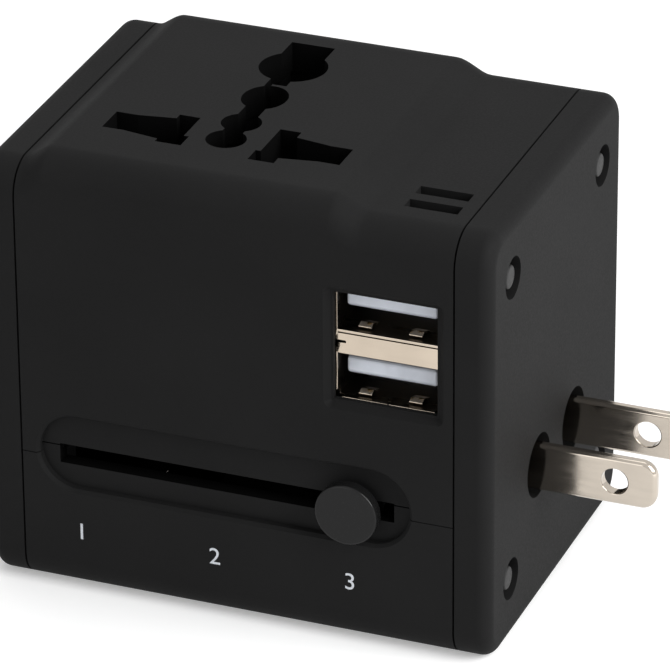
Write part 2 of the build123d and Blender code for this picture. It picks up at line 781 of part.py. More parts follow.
# Knob: disc, neck through the slot, collar behind the wall and guide spigot
knob_face_y = -half_depth - knob_proud
disc_back_y = knob_face_y + knob_thickness
collar_front_y = slot_back_y + 0.3
collar_back_y = collar_front_y + collar_thickness
spigot_end_y = boss_front_y + boss_depth - 0.6 - knob_travel - 0.3
neck_height = slot_height - 2 * slide_gap
with BuildPart() as knob:
    with BuildSketch(Plane.XZ.offset(-knob_face_y)) as disc:
        with Locations((knob_x, slot_centre_z)):
            Circle(knob_diameter / 2)
    extrude(disc.sketch, amount=-knob_thickness)
    fillet(knob.faces().sort_by(Axis.Y)[0].edges(), knob_edge_radius)
    with BuildSketch(Plane.XZ.offset(-disc_back_y)) as neck:
        with Locations((knob_x, slot_centre_z)):
            Rectangle(neck_width, neck_height)
    extrude(neck.sketch, amount=-(collar_front_y - disc_back_y))
    with BuildSketch(Plane.XZ.offset(-collar_front_y)) as collar:
        with Locations((knob_x, slot_centre_z)):
            Circle(collar_diameter / 2)
    extrude(collar.sketch, amount=-collar_thickness)
    with BuildSketch(Plane.XZ.offset(-collar_back_y)) as spigot:
        with Locations((knob_x, slot_centre_z)):
            Circle(spigot_diameter / 2)
    extrude(spigot.sketch, amount=-(spigot_end_y - collar_back_y))

# Return spring round the knob's spigot
spring_wire = 0.35
spring_coils = 3.5
spring_gap = 0.1
spring_mean_radius = spigot_diameter / 2 + 0.25 + spring_wire / 2
spring_length = boss_front_y - collar_back_y - spring_wire - 2 * spring_gap
with BuildPart() as knob_spring:
    spring_start_y = collar_back_y + spring_gap + spring_wire / 2
    with BuildLine() as coil_path:
        Helix(
            pitch=spring_length / spring_coils,
            height=spring_length,
            radius=spring_mean_radius,
            center=(knob_x, spring_start_y, slot_centre_z),
            direction=(0, 1, 0),
        )
    with BuildSketch(Plane(coil_path.line @ 0, z_dir=coil_path.line % 0)) as wire:
        RegularPolygon(spring_wire / 2, 6)
    sweep(wire.sketch, path=coil_path.line, is_frenet=True)

# Detent spring: a leaf under the carriage whose nose drops towards the rib's notches
leaf_thickness = 0.3
leaf_width = 1.6
leaf_half_length = 3.2
nose_gap = 0.12
with BuildPart() as detent_spring:
    leaf_top_z = carriage_base_z - 0.02
    leaf_z = leaf_top_z - leaf_thickness / 2
    nose_z = middle_rib_top_z + nose_gap + leaf_thickness / 2
    with BuildSketch(Plane.XZ) as leaf:
        with BuildLine():
            Polyline(
                (detent_x - leaf_half_length, leaf_z),
                (detent_x - leaf_half_length / 3, leaf_z),
                (detent_x, nose_z),
                (detent_x + leaf_half_length / 3, leaf_z),
                (detent_x + leaf_half_length, leaf_z),
            )
        trace(line_width=leaf_thickness)
    extrude(leaf.sketch, amount=leaf_width / 2, both=True)

# Fold-out plug: block, round pins and their sleeves
block_top_z = euro_axis_z + euro_block_length
euro_root_z = block_top_z - euro_pin_root
euro_tip_z = block_top_z + euro_pin_length
block_radius = euro_block_thickness / 2
euro_pin_xs = (-euro_pin_spacing / 2, euro_pin_spacing / 2)
with BuildPart() as euro_block:
    with BuildSketch(Plane.YZ.offset(-euro_block_width / 2)) as side:
        with Locations((euro_axis_y, euro_axis_z)):
            Circle(block_radius)
        with Locations((euro_axis_y, (euro_axis_z + block_top_z) / 2)):
            Rectangle(euro_block_thickness, block_top_z - euro_axis_z)
        with Locations((euro_axis_y, euro_axis_z)):
            Circle(hinge_pin_diameter / 2 + bore_gap, mode=Mode.SUBTRACT)
    extrude(side.sketch, amount=euro_block_width)
    chamfer(euro_block.faces().sort_by(Axis.Z)[-1].edges(), 0.8)
    with BuildSketch(Plane.XY.offset(euro_root_z)) as seats:
        with Locations(*[(x, euro_axis_y) for x in euro_pin_xs]):
            Circle(euro_pin_diameter / 2 + carriage_fit)
    extrude(seats.sketch, amount=euro_pin_root + 1, mode=Mode.SUBTRACT)

euro_pins = {}
for name, x in zip(("euro_live_pin", "euro_neutral_pin"), euro_pin_xs):
    with BuildPart() as pin:
        with BuildSketch(Plane.XY.offset(euro_root_z)) as shank:
            with Locations((x, euro_axis_y)):
                Circle(euro_pin_diameter / 2)
        extrude(shank.sketch, amount=euro_tip_z - euro_root_z)
        fillet(pin.faces().sort_by(Axis.Z)[-1].edges(), euro_pin_diameter / 2 - 0.4)
        with BuildSketch(Plane.XY.offset(block_top_z)) as waist:
            with Locations((x, euro_axis_y)):
                Circle(euro_pin_diameter / 2)
                Circle(euro_pin_diameter / 2 - euro_sleeve_wall, mode=Mode.SUBTRACT)
        extrude(waist.sketch, amount=euro_sleeve_length, mode=Mode.SUBTRACT)
    euro_pins[name] = pin

with BuildPart() as euro_pin_sleeves:
    with BuildSketch(Plane.XY.offset(block_top_z)) as rings:
        with Locations(*[(x, euro_axis_y) for x in euro_pin_xs]):
            Circle(euro_pin_diameter / 2)
            Circle(euro_pin_diameter / 2 - euro_sleeve_wall, mode=Mode.SUBTRACT)
    extrude(rings.sketch, amount=euro_sleeve_length)

with BuildPart() as euro_tray:
    tray_x = (-tray_outer_half_width, tray_outer_half_width)
    block(tray_x, (tray_floor_y - tray_wall, half_depth), tray_outer_z)
    inner_x = (-tray_inner_half_width, tray_inner_half_width)
    block(
        inner_x,
        (tray_floor_y, half_depth + 1),
        (tray_inner_low_z, tray_inner_high_z),
        Mode.SUBTRACT,
    )
    with BuildSketch(Plane.YZ.offset(-tray_outer_half_width - 1)) as hinge_holes:
        with Locations((euro_axis_y, euro_axis_z)):
            Circle(hinge_pin_diameter / 2 + 0.02)
    extrude(hinge_holes.sketch, amount=2 * tray_outer_half_width + 2, mode=Mode.SUBTRACT)

with BuildPart() as euro_hinge_pin:
    with BuildSketch(Plane.YZ.offset(-tray_outer_half_width)) as axle:
        with Locations((euro_axis_y, euro_axis_z)):
            Circle(hinge_pin_diameter / 2)
    extrude(axle.sketch, amount=2 * tray_outer_half_width)

# Socket block under the platform, with a well below each aperture
rear_boss_y = tray_floor_y - tray_wall - 0.3
with BuildPart() as socket_block:
    block(
        (block_left_x, block_right_x),
        (-block_half_depth, block_half_depth),
        (block_base_z - 2.8, block_base_z),
    )
    block(
        (block_left_x, block_right_x),
        (-block_half_depth, us_earth_y + us_earth_height / 2 + 1.6),
        (block_base_z - 0.1, ceiling_z - 0.05),
    )
    boss_x = span(socket_x, 2 * (earth_hole_radius + well_margin + 1.0))
    boss_start_y = column_half_depth + 0.5
    block(boss_x, (boss_start_y, rear_boss_y), (earth_floor_z - block_floor, ceiling_z - 0.05))
    block(boss_x, (boss_start_y, earth_slot_end_y + 1.0), (tray_outer_z[1] + 0.3, ceiling_z - 0.05))
    for y in (-rail_y, rail_y):
        block(
            (block_left_x, block_right_x),
            span(y, rail_width),
            (rail_top_z, block_base_z - 2.7),
        )
    with BuildSketch(Plane.XY.offset(ceiling_z)) as wells:
        add(socket_openings(well_margin / 2))
    well_depth = ceiling_z - well_floor_z
    extrude(wells.sketch, amount=-well_depth, mode=Mode.SUBTRACT)
    with BuildSketch(Plane.XY.offset(well_floor_z + 0.1)) as ground_well:
        with Locations((socket_x, us_earth_y)):
            Circle(us_earth_width / 2 + ground_well_margin)
    extrude(ground_well.sketch, amount=ground_floor_z - well_floor_z - 0.1, mode=Mode.SUBTRACT)
    with BuildSketch(Plane.XY.offset(well_floor_z + 0.1)) as earth_well:
        with Locations((socket_x, earth_hole_y + 0.3)):
            Circle(earth_hole_radius + 0.1)
    extrude(earth_well.sketch, amount=earth_floor_z - well_floor_z - 0.1, mode=Mode.SUBTRACT)

    slit = contact_thickness + 0.1
    block(span(leg_x, leg_width + 0.2), span(leg_y, slit), (rail_top_z - 1, well_floor_z + 1), Mode.SUBTRACT)
    block(
        (arm_start_x - 1, block_right_x + 1),
        span(link_y, slit),
        (well_floor_z + 0.5, well_floor_z + 3.7),
        Mode.SUBTRACT,
    )

# Current rails under the socket block
rails = {}
for name, y in (("live_rail", -rail_y), ("neutral_rail", rail_y)):
    with BuildPart() as rail:
        block((rail_left_x, rail_right_x), span(y, rail_width), (rail_top_z - rail_thickness, rail_top_z))
    rails[name] = rail

# Wipers: sprung strips that rise from the carriage to the rails
wiper_foot_z = head_bar_high_z + 0.02
wiper_top_z = rail_top_z - rail_thickness - fit_gap
wiper_rise_x = carriage_left_x + 1.0
wipers = {}
for name, y in (("live_wiper", -wiper_y), ("neutral_wiper", wiper_y)):
    with BuildPart() as wiper:
        with BuildSketch(Plane.XZ.offset(-y)) as profile:
            with BuildLine():
                FilletPolyline(
                    (head_right_x - 1.0, wiper_foot_z + wiper_thickness / 2),
                    (wiper_rise_x, wiper_foot_z + wiper_thickness / 2),
                    (wiper_rise_x, wiper_top_z - wiper_lean_height),
                    (wiper_rise_x + wiper_lean, wiper_top_z - wiper_thickness / 2),
                    (wiper_rise_x + wiper_lean + wiper_tip, wiper_top_z - wiper_tip),
                    radius=2 * wiper_thickness,
                )
            trace(line_width=wiper_thickness)
        extrude(profile.sketch, amount=wiper_width / 2, both=True)
    wipers[name] = wiper

# Charger board with its parts
board_half_y = inner_half_depth - 0.6
with BuildPart() as charger_board:
    block((board_left_x, inner_end_x), (-board_half_y, board_half_y), (board_bottom_z, board_top_z))

port_z = (
    (usb_z[0] + usb_sheet, usb_web_low_z),
    (usb_web_high_z, usb_z[1] - usb_sheet),
)


def floor_tab(x, floor_z):
    """A spring tab pressed up out of a port's floor."""
    tip_y = usb_y[0] + tab_setback
    with BuildSketch(Plane.YZ.offset(x - tab_width / 2)) as tab:
        with BuildLine():
            Polyline(
                (tip_y, floor_z + tab_height / 2),
                (tip_y + tab_length / 3, floor_z + tab_height),
                (tip_y + tab_length, floor_z - usb_sheet / 3),
            )
        trace(line_width=usb_sheet * 0.7)
    extrude(tab.sketch, amount=tab_width)


# Double receptacle of folded sheet: open corners, joints and a flat web between the ports
with BuildPart() as usb_shell:
    block(usb_x, usb_y, usb_z)
    for low, high in port_z:
        block(
            (usb_x[0] + usb_sheet, usb_x[1] - usb_sheet),
            (usb_y[0] - 1, usb_y[1] - usb_sheet),
            (low, high),
            Mode.SUBTRACT,
        )
    front_y = (usb_y[0] - 1, usb_y[0] + usb_fold_depth)
    fold_line_z = usb_web_high_z - usb_sheet
    block(
        (usb_x[0] + usb_sheet, usb_x[1] - usb_sheet),
        front_y,
        (fold_line_z - usb_joint_gap, fold_line_z),
        Mode.SUBTRACT,
    )
    web_mid_z = (usb_web_low_z + usb_web_high_z) / 2
    block((usb_x[0] - 1, usb_x[0] + 4 * usb_sheet), front_y, span(web_mid_z, 2 * usb_joint_gap), Mode.SUBTRACT)
    block(
        (usb_x[0] - 1, usb_x[0] + usb_sheet),
        front_y,
        (web_mid_z - usb_fold_depth, web_mid_z),
        Mode.SUBTRACT,
    )
    block(span(usb_centre_x, usb_joint_gap), front_y, (usb_z[0] - 1, usb_z[0] + usb_sheet), Mode.SUBTRACT)
    for x in (usb_x[0], usb_x[1]):
        corner_x = span(x, 2 * (usb_sheet + usb_fold_depth / 2))
        block(corner_x, front_y, (usb_z[0] - 1, usb_z[0] + usb_sheet + usb_fold_depth), Mode.SUBTRACT)
    for low, high in port_z:
        for side in (-1, 1):
            floor_tab(usb_centre_x + side * tab_offset, low)

with BuildPart() as usb_tongues:
    back_y = usb_y[1] - usb_sheet
    for low, high in port_z:
        under = low + tongue_rise
        block(
            span(usb_centre_x, tongue_width),
            (usb_y[0] + tongue_setback, back_y - tongue_base / 2),
            (under, under + tongue_thickness),
        )
        block(
            (usb_x[0] + usb_sheet + part_gap / 2, usb_x[1] - usb_sheet - part_gap / 2),
            (back_y - tongue_base, back_y - part_gap / 2),
            (low + part_gap / 2, high - part_gap / 2),
        )
    tip_edges = usb_tongues.edges().filter_by(lambda e: e.center().Y < usb_y[0] + tongue_setback + 0.01)
    chamfer(tip_edges.filter_by(Axis.X), 0.25)

with BuildPart() as usb_contacts:
    for low, high in port_z:
        under = low + tongue_rise
        for i in range(4):
            x = usb_centre_x + (i - 1.5) * contact_pitch
            start_y = usb_y[0] + tongue_setback + contact_width
            block(
                span(x, contact_width),
                (start_y, start_y + contact_length),
                (under - port_contact_thickness - 0.02, under - 0.02),
            )

# Transformer, reservoir capacitors and fuse on the board
core_x = (board_left_x + core_inset, shell_end_x - core_end_gap)
core_z = (board_top_z + part_gap, board_top_z + part_gap + core_height)
with BuildPart() as transformer_core:
    block(core_x, (-core_half_depth, core_half_depth), core_z)
    window_half_depth = core_half_depth - core_leg
    block(
        (core_x[0] - 1, core_x[1] + 1),
        (-window_half_depth, window_half_depth),
        (core_z[0] + core_leg, core_z[1] - core_leg),
        Mode.SUBTRACT,
    )
with BuildPart() as transformer_winding:
    with BuildSketch(Plane.YZ.offset(core_x[0] - core_inset / 2)) as coil:
        with Locations((0, (core_z[0] + core_z[1]) / 2)):
            RectangleRounded(
                2 * winding_half_depth, core_height - 2 * core_leg - 2 * part_gap, winding_radius
            )
    extrude(coil.sketch, amount=core_x[1] - core_x[0] + core_inset)

with BuildPart() as capacitors:
    with BuildSketch(Plane.XY.offset(board_top_z + part_gap)) as cans:
        first_x = core_x[0] + capacitor_radius + part_gap
        with Locations((first_x, capacitor_y), (first_x + capacitor_pitch, capacitor_y)):
            Circle(capacitor_radius)
    extrude(cans.sketch, amount=capacitor_height)
    fillet(capacitors.faces().group_by(Axis.Z)[-1].edges(), capacitor_crimp)
    # The crimp that holds each can's bung
    with BuildSketch(Plane.XY.offset(board_top_z + part_gap + 3 * capacitor_crimp)) as crimps:
        with Locations((first_x, capacitor_y), (first_x + capacitor_pitch, capacitor_y)):
            Circle(capacitor_radius + 1)
            Circle(capacitor_radius - capacitor_crimp, mode=Mode.SUBTRACT)
    extrude(crimps.sketch, amount=2 * capacitor_crimp, mode=Mode.SUBTRACT)

with BuildPart() as fuse:
    with BuildSketch(Plane.YZ.offset(core_x[0])) as tube:
        with Locations((fuse_y, board_top_z + part_gap + fuse_radius)):
            Circle(fuse_radius)
    extrude(tube.sketch, amount=fuse_length)
    # The tube between the two end caps is a little thinner
    with BuildSketch(Plane.YZ.offset(core_x[0] + fuse_cap_length)) as barrel_waist:
        with Locations((fuse_y, board_top_z + part_gap + fuse_radius)):
            Circle(fuse_radius + 1)
            Circle(fuse_radius * 0.88, mode=Mode.SUBTRACT)
    extrude(barrel_waist.sketch, amount=fuse_length - 2 * fuse_cap_length, mode=Mode.SUBTRACT)


def socket_contact(side):
    """The bent strip of one line well: leaves beside the rectangular pin and the flat blade."""
    slot_x, slot_y, slot_height = us_slot(side)
    blade_offset = us_slot_width / 2 + contact_thickness / 2
    near = slot_x - side * blade_offset
    far = slot_x + side * blade_offset
    outer = socket_x + side * (uk_slot_outer + 0.1)
    half = uk_slot_height / 2 + contact_spread
    blade_low = slot_y - slot_height / 2 + us_foot_height
    blade_high = slot_y + slot_height / 2 - contact_spread
    with BuildSketch(Plane.XY.offset(well_floor_z + 0.05)) as strip:
        with BuildLine():
            Polyline(
                (far, blade_high),
                (far, socket_row_y + half),
                (outer, socket_row_y + half),
                (outer, socket_row_y - half),
                (far, socket_row_y - half),
                (far, blade_low),
                (near, blade_low),
                (near, blade_high),
            )
        trace(line_width=contact_thickness)
    extrude(strip.sketch, amount=contact_top_z - well_floor_z)


with BuildPart() as live_contact:
    socket_contact(-1)
    block(
        span(leg_x, leg_width),
        span(leg_y, contact_thickness),
        (rail_top_z + 0.02, well_floor_z + 1.0),
    )

with BuildPart() as neutral_contact:
    socket_contact(1)

# Link from the neutral contact, round the block's end, to the rear rail
link_x = (block_right_x + 0.05, block_right_x + 0.05 + contact_thickness)
arm_z = (well_floor_z + 0.6, well_floor_z + 3.6)
strap_z = (column_high_z + 0.8, column_high_z + 2.8)
with BuildPart() as neutral_link:
    block((arm_start_x, link_x[1]), span(link_y, contact_thickness), arm_z)
    block(link_x, (link_y - contact_thickness / 2, link_y + leg_width), (strap_z[0], arm_z[1]))
    block(link_x, (link_y - contact_thickness / 2, rail_y + rail_width / 2), strap_z)
    block(link_x, span(rail_y, rail_width), (rail_top_z - rail_thickness, strap_z[1]))

pieces = {
    "upper_shell": upper_shell,
    "lower_shell": lower_shell,
    "left_end_plate": left_end_plate,
    "right_end_plate": right_end_plate,
    "left_plate_pins": left_plate_pins,
    "right_plate_pins": right_plate_pins,
    "carriage": carriage,
    "uk_live_pin": uk_pins["uk_live_pin"],
    "uk_neutral_pin": uk_pins["uk_neutral_pin"],
    "uk_earth_pin": uk_earth_pin,
    "uk_pin_sleeves": uk_pin_sleeves,
    "front_turret": turrets["front_blade"],
    "rear_turret": turrets["rear_blade"],
    "front_blade": blades["front_blade"],
    "rear_blade": blades["rear_blade"],
    "knob": knob,
    "knob_spring": knob_spring,
    "detent_spring": detent_spring,
    "live_wiper": wipers["live_wiper"],
    "neutral_wiper": wipers["neutral_wiper"],
    "euro_tray": euro_tray,
    "euro_block": euro_block,
    "euro_live_pin": euro_pins["euro_live_pin"],
    "euro_neutral_pin": euro_pins["euro_neutral_pin"],
    "euro_pin_sleeves": euro_pin_sleeves,
    "euro_hinge_pin": euro_hinge_pin,
    "socket_block": socket_block,
    "live_contact": live_contact,
    "neutral_contact": neutral_contact,
    "neutral_link": neutral_link,
    "live_rail": rails["live_rail"],
    "neutral_rail": rails["neutral_rail"],
    "usb_shell": usb_shell,
    "usb_tongues": usb_tongues,
    "usb_contacts": usb_contacts,
    "charger_board": charger_board,
    "transformer_core": transformer_core,
    "transformer_winding": transformer_winding,
    "capacitors": capacitors,
    "fuse": fuse,
}

for name, piece in pieces.items():
    piece.part.label = name
    export_step(piece.part, f"parts/{name}.step")
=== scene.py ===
"""Travel adapter: finishes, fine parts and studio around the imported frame."""
import json
import math

import bmesh
import bpy
import numpy as np
from bpy.props import FloatProperty, FloatVectorProperty, PointerProperty
from mathutils import Matrix, Vector

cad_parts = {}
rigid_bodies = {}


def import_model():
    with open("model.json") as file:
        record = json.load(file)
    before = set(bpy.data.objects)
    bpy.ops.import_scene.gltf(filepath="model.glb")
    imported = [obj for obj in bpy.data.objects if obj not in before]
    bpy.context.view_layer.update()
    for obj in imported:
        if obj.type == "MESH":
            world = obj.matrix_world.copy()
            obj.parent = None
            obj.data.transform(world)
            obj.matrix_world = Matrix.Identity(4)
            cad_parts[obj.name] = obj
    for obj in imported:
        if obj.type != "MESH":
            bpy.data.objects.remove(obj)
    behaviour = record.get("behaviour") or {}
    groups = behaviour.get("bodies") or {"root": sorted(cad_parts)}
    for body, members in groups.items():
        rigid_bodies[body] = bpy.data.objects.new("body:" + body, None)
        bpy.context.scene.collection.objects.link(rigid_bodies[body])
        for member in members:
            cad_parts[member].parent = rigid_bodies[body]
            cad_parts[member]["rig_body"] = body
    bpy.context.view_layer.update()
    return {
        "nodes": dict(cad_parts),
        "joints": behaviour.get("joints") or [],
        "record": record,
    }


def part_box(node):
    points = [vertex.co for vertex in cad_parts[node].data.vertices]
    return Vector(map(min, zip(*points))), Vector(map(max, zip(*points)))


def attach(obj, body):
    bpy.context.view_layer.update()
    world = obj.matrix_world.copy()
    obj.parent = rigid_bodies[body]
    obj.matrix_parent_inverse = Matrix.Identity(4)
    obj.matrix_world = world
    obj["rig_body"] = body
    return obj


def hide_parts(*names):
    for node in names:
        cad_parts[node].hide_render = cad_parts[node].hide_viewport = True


bl_info = {
    "name": "Travel adapter",
    "version": (1, 0, 0),
    "blender": (4, 5, 0),
    "location": "View3D > Sidebar > Adapter",
    "description": "Finishes and fine parts of a travel adapter, built round its packed frame",
    "category": "Object",
}

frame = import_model()
NODES = frame["nodes"]
MM = 0.001
SHARP = math.radians(32.0)  # an edge at a larger angle parts the shading of its two faces
FLAT = 1e-3  # faces at a smaller angle, in radians, lie in one plane
DOUBLES = 1e-4 * MM  # points that are nearer to each other are one point
SLIVER = 1e-5 * MM  # an edge or face that is shorter or thinner is taken out
ALONG = 0.01  # a face runs along an axis where its normal's part on that axis is smaller
SQUARE = 0.999  # a face is square to an axis where its normal's part on that axis is larger
DIGIT_HEIGHT = 0.69  # height of a digit in the built-in font, over the font's size


# Reading the frame

def node_centre(node):
    """Middle of a CAD node's box."""
    low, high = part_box(node)
    return (Vector(low) + Vector(high)) / 2


def slot_of(node):
    """The record's material slot of a CAD node."""
    return next(s["material_slot"] for s in frame["record"]["subparts"] if s["node"] == node)


def joint(name):
    """A joint of the frame by its name."""
    return next(j for j in frame["joints"] if j["name"] == name)


# Shader building

class Shader:
    """A material's node tree with short ways to add and join nodes."""

    def __init__(self, name):
        self.material = bpy.data.materials.new(name)
        self.material.use_nodes = True
        self.tree = self.material.node_tree
        self.bsdf = self.tree.nodes["Principled BSDF"]

    def node(self, kind, inputs=None, **properties):
        """Adds a node, sets its properties, and fills or links its inputs by name or index."""
        made = self.tree.nodes.new(kind)
        for key, value in properties.items():
            setattr(made, key, value)
        for key, value in (inputs or {}).items():
            self.feed(made.inputs[key], value)
        return made

    def feed(self, socket, value):
        """Links an output into a socket, or sets the socket's value."""
        if isinstance(value, bpy.types.NodeSocket):
            self.tree.links.new(value, socket)
        elif socket.type == "RGBA":
            socket.default_value = (*value[:3], 1.0)
        else:
            socket.default_value = value

    def place(self, stretch=(1, 1, 1)):
        """Object coordinates in metres, stretched along each axis."""
        texture = self.node("ShaderNodeTexCoord")
        mapping = self.node(
            "ShaderNodeMapping", {"Vector": texture.outputs["Object"], "Scale": stretch}
        )
        return mapping.outputs["Vector"]

    def noise(self, vector, scale, detail=2.0, roughness=0.5):
        """A noise value between about 0 and 1."""
        inputs = {"Vector": vector, "Scale": scale, "Detail": detail, "Roughness": roughness}
        return self.node("ShaderNodeTexNoise", inputs).outputs["Fac"]

    def spread(self, value, low, high, start=0.3, end=0.7):
        """Maps a value from start..end to low..high."""
        inputs = {
            "Value": value, "From Min": start, "From Max": end, "To Min": low, "To Max": high,
        }
        return self.node("ShaderNodeMapRange", inputs).outputs["Result"]

    def blend(self, factor, first, second):
        """A colour between two colours."""
        made = self.node("ShaderNodeMix", data_type="RGBA")
        self.feed(made.inputs["Factor"], factor)
        colours = [s for s in made.inputs if s.type == "RGBA"]
        self.feed(colours[0], first)
        self.feed(colours[1], second)
        return next(s for s in made.outputs if s.type == "RGBA")

    def bump(self, height, strength, distance, before=None):
        """A bump from a height value, on top of an earlier one."""
        inputs = {"Height": height, "Strength": strength, "Distance": distance}
        if before is not None:
            inputs["Normal"] = before
        return self.node("ShaderNodeBump", inputs).outputs["Normal"]

    def finish(self, **sockets):
        """Fills the Principled shader's own sockets and gives the material."""
        for key, value in sockets.items():
            self.feed(self.bsdf.inputs[key.replace("_", " ")], value)
        return self.material


def shade(colour, factor, lift=0.0):
    """A colour made darker or lighter."""
    return tuple(min(1.0, c * factor + lift) for c in colour)


def moulded_plastic(name, colour, roughness, grain, depth, gloss=0.3):
    """Matte moulded plastic: spark-eroded grain, faint flow patches and an uneven sheen."""
    shader = Shader(name)
    place = shader.place()
    patches = shader.noise(place, scale=55.0, detail=3.0)
    cells = shader.noise(place, scale=grain, roughness=0.6)
    pores = shader.noise(place, scale=grain * 3.1, detail=1.0)
    tone = shader.blend(shader.spread(patches, 0.0, 1.0), colour, shade(colour, 1.2))
    specks = shader.spread(cells, 0.0, 0.2, start=0.6, end=0.8)
    base = shader.blend(specks, tone, shade(colour, 1.7, lift=0.002))
    rough = shader.spread(cells, roughness - 0.05, roughness + 0.06)
    relief = shader.bump(pores, strength=0.25, distance=depth * 0.5)
    relief = shader.bump(cells, strength=0.5, distance=depth, before=relief)
    return shader.finish(
        Base_Color=base, Roughness=rough, Normal=relief, IOR=1.5, Specular_IOR_Level=gloss
    )


def plated_metal(name, colour, roughness, stretch, depth):
    """Plated sheet: rolling lines along one axis, cloudy plating, fine pits and soft waves."""
    shader = Shader(name)
    place = shader.place()
    lines = shader.noise(shader.place(stretch), scale=60.0, detail=4.0, roughness=0.65)
    clouds = shader.noise(place, scale=150.0, detail=3.0)
    spots = shader.noise(place, scale=2600.0, detail=1.0)
    waves = shader.noise(place, scale=70.0, detail=1.0)
    tone = shader.blend(shader.spread(clouds, 0.0, 1.0), colour, shade(colour, 0.88))
    streaks = shader.spread(lines, 0.0, 0.3, start=0.45, end=0.75)
    base = shader.blend(streaks, tone, shade(colour, 0.75))
    rough = shader.spread(lines, roughness - 0.04, roughness + 0.06)
    pits = shader.spread(spots, 0.0, 1.0, start=0.66, end=0.8)
    relief = shader.bump(waves, strength=0.2, distance=0.2 * MM)
    relief = shader.bump(lines, strength=0.2, distance=depth, before=relief)
    relief = shader.bump(pits, strength=0.2, distance=depth, before=relief)
    return shader.finish(Base_Color=base, Roughness=rough, Metallic=1.0, Normal=relief)


def clean_resin(name, colour, roughness):
    """Smooth moulded resin with faint flow marks."""
    shader = Shader(name)
    place = shader.place()
    flow = shader.noise(place, scale=420.0)
    tone = shader.blend(shader.spread(flow, 0.0, 1.0), colour, shade(colour, 0.86))
    rough = shader.spread(flow, roughness - 0.05, roughness + 0.08)
    marks = shader.noise(place, scale=5200.0, detail=1.0)
    relief = shader.bump(marks, strength=0.15, distance=0.01 * MM)
    return shader.finish(Base_Color=tone, Roughness=rough, Normal=relief)


def circuit_board(name, colour):
    """Solder mask over copper tracks that run in two directions."""
    shader = Shader(name)
    tracks = shader.node(
        "ShaderNodeTexBrick", {"Vector": shader.place(), "Scale": 420.0, "Mortar Size": 0.04}
    ).outputs["Fac"]
    mask = shader.blend(tracks, colour, shade(colour, 2.0))
    relief = shader.bump(tracks, strength=0.3, distance=0.03 * MM)
    return shader.finish(Base_Color=mask, Roughness=0.35, Normal=relief)


def wound_tape(name, colour):
    """Glossy tape round a winding, with the edge of each turn showing."""
    shader = Shader(name)
    turns = shader.node(
        "ShaderNodeTexWave", {"Vector": shader.place(), "Scale": 900.0, "Distortion": 0.6}
    ).outputs["Fac"]
    tone = shader.blend(turns, colour, shade(colour, 0.6))
    relief = shader.bump(turns, strength=0.3, distance=0.04 * MM)
    return shader.finish(Base_Color=tone, Roughness=0.28, Normal=relief)


def printed_ink(name, colour):
    """Pad-printed ink, slightly uneven over the grain of the casing."""
    shader = Shader(name)
    place = shader.place()
    cover = shader.noise(place, scale=2600.0)
    tone = shader.blend(shader.spread(cover, 0.0, 1.0), colour, shade(colour, 0.78))
    relief = shader.bump(shader.noise(place, scale=5200.0), strength=0.2, distance=0.02 * MM)
    return shader.finish(Base_Color=tone, Roughness=0.55, Normal=relief)


# Sizes and colours that a user would change

class FinishSettings(bpy.types.PropertyGroup):
    """Colours and textures of the adapter's finishes."""

    casing_colour: FloatVectorProperty(
        name="Casing", description="Base colour of the moulded casing", subtype="COLOR", size=3,
        min=0.0, max=1.0, default=(0.0092, 0.0092, 0.0093),
    )
    casing_roughness: FloatProperty(
        name="Casing roughness", description="Mean roughness of the casing", subtype="FACTOR",
        min=0.0, max=1.0, default=0.7,
    )
    casing_gloss: FloatProperty(
        name="Casing gloss", description="Specular level of the casing", subtype="FACTOR",
        min=0.0, max=1.0, default=0.085,
    )
    grain: FloatProperty(
        name="Grain", description="Grain cells per metre of the moulded texture", min=1.0,
        default=3600.0,
    )
    grain_depth: FloatProperty(
        name="Grain depth", description="Depth of the moulded texture", unit="LENGTH", min=0.0,
        default=0.02 * MM,
    )
    nickel_colour: FloatVectorProperty(
        name="Nickel", description="Base colour of the plated blades and pins", subtype="COLOR",
        size=3, min=0.0, max=1.0, default=(0.55, 0.49, 0.42),
    )
    port_colour: FloatVectorProperty(
        name="Port metal", description="Base colour of the plated sheet of the ports",
        subtype="COLOR", size=3, min=0.0, max=1.0, default=(0.58, 0.495, 0.40),
    )
    tongue_colour: FloatVectorProperty(
        name="Tongue", description="Base colour of the ports' resin tongues", subtype="COLOR",
        size=3, min=0.0, max=1.0, default=(0.74, 0.78, 0.86),
    )
    ink_colour: FloatVectorProperty(
        name="Ink", description="Base colour of the printed numerals", subtype="COLOR", size=3,
        min=0.0, max=1.0, default=(0.72, 0.75, 0.80),
    )
    # where the selector slot's painted shade starts, below the front
    slot_recess: FloatProperty(
        name="Slot recess", description="Depth below the front at which the slot's finish starts",
        unit="LENGTH", min=0.0, default=1.25 * MM,
    )
    # where the painted shade inside the port starts, below its front
    port_rim: FloatProperty(
        name="Port rim", description="Depth below the port's front at which its inside starts",
        unit="LENGTH", min=0.0, default=0.3 * MM,
    )


class EdgeSettings(bpy.types.PropertyGroup):
    """Widths of the rounded edges."""

    strip: FloatProperty(
        name="Strip width", description="Widest strip that counts as part of a rounded edge",
        unit="LENGTH", min=0.0, default=1.0 * MM,
    )
    small: FloatProperty(
        name="Small edge", description="Rounding of small moulded pieces", unit="LENGTH",
        min=0.0, default=0.12 * MM,
    )
    sheet: FloatProperty(
        name="Sheet edge", description="Rounding of stamped sheet edges", unit="LENGTH",
        min=0.0, default=0.06 * MM,
    )
    tongue: FloatProperty(
        name="Tongue edge", description="Rounding of the ports' tongues", unit="LENGTH",
        min=0.0, default=0.3 * MM,
    )
    blade: FloatProperty(
        name="Blade edge", description="Rounding along the flat blades", unit="LENGTH",
        min=0.0, default=0.13 * MM,
    )


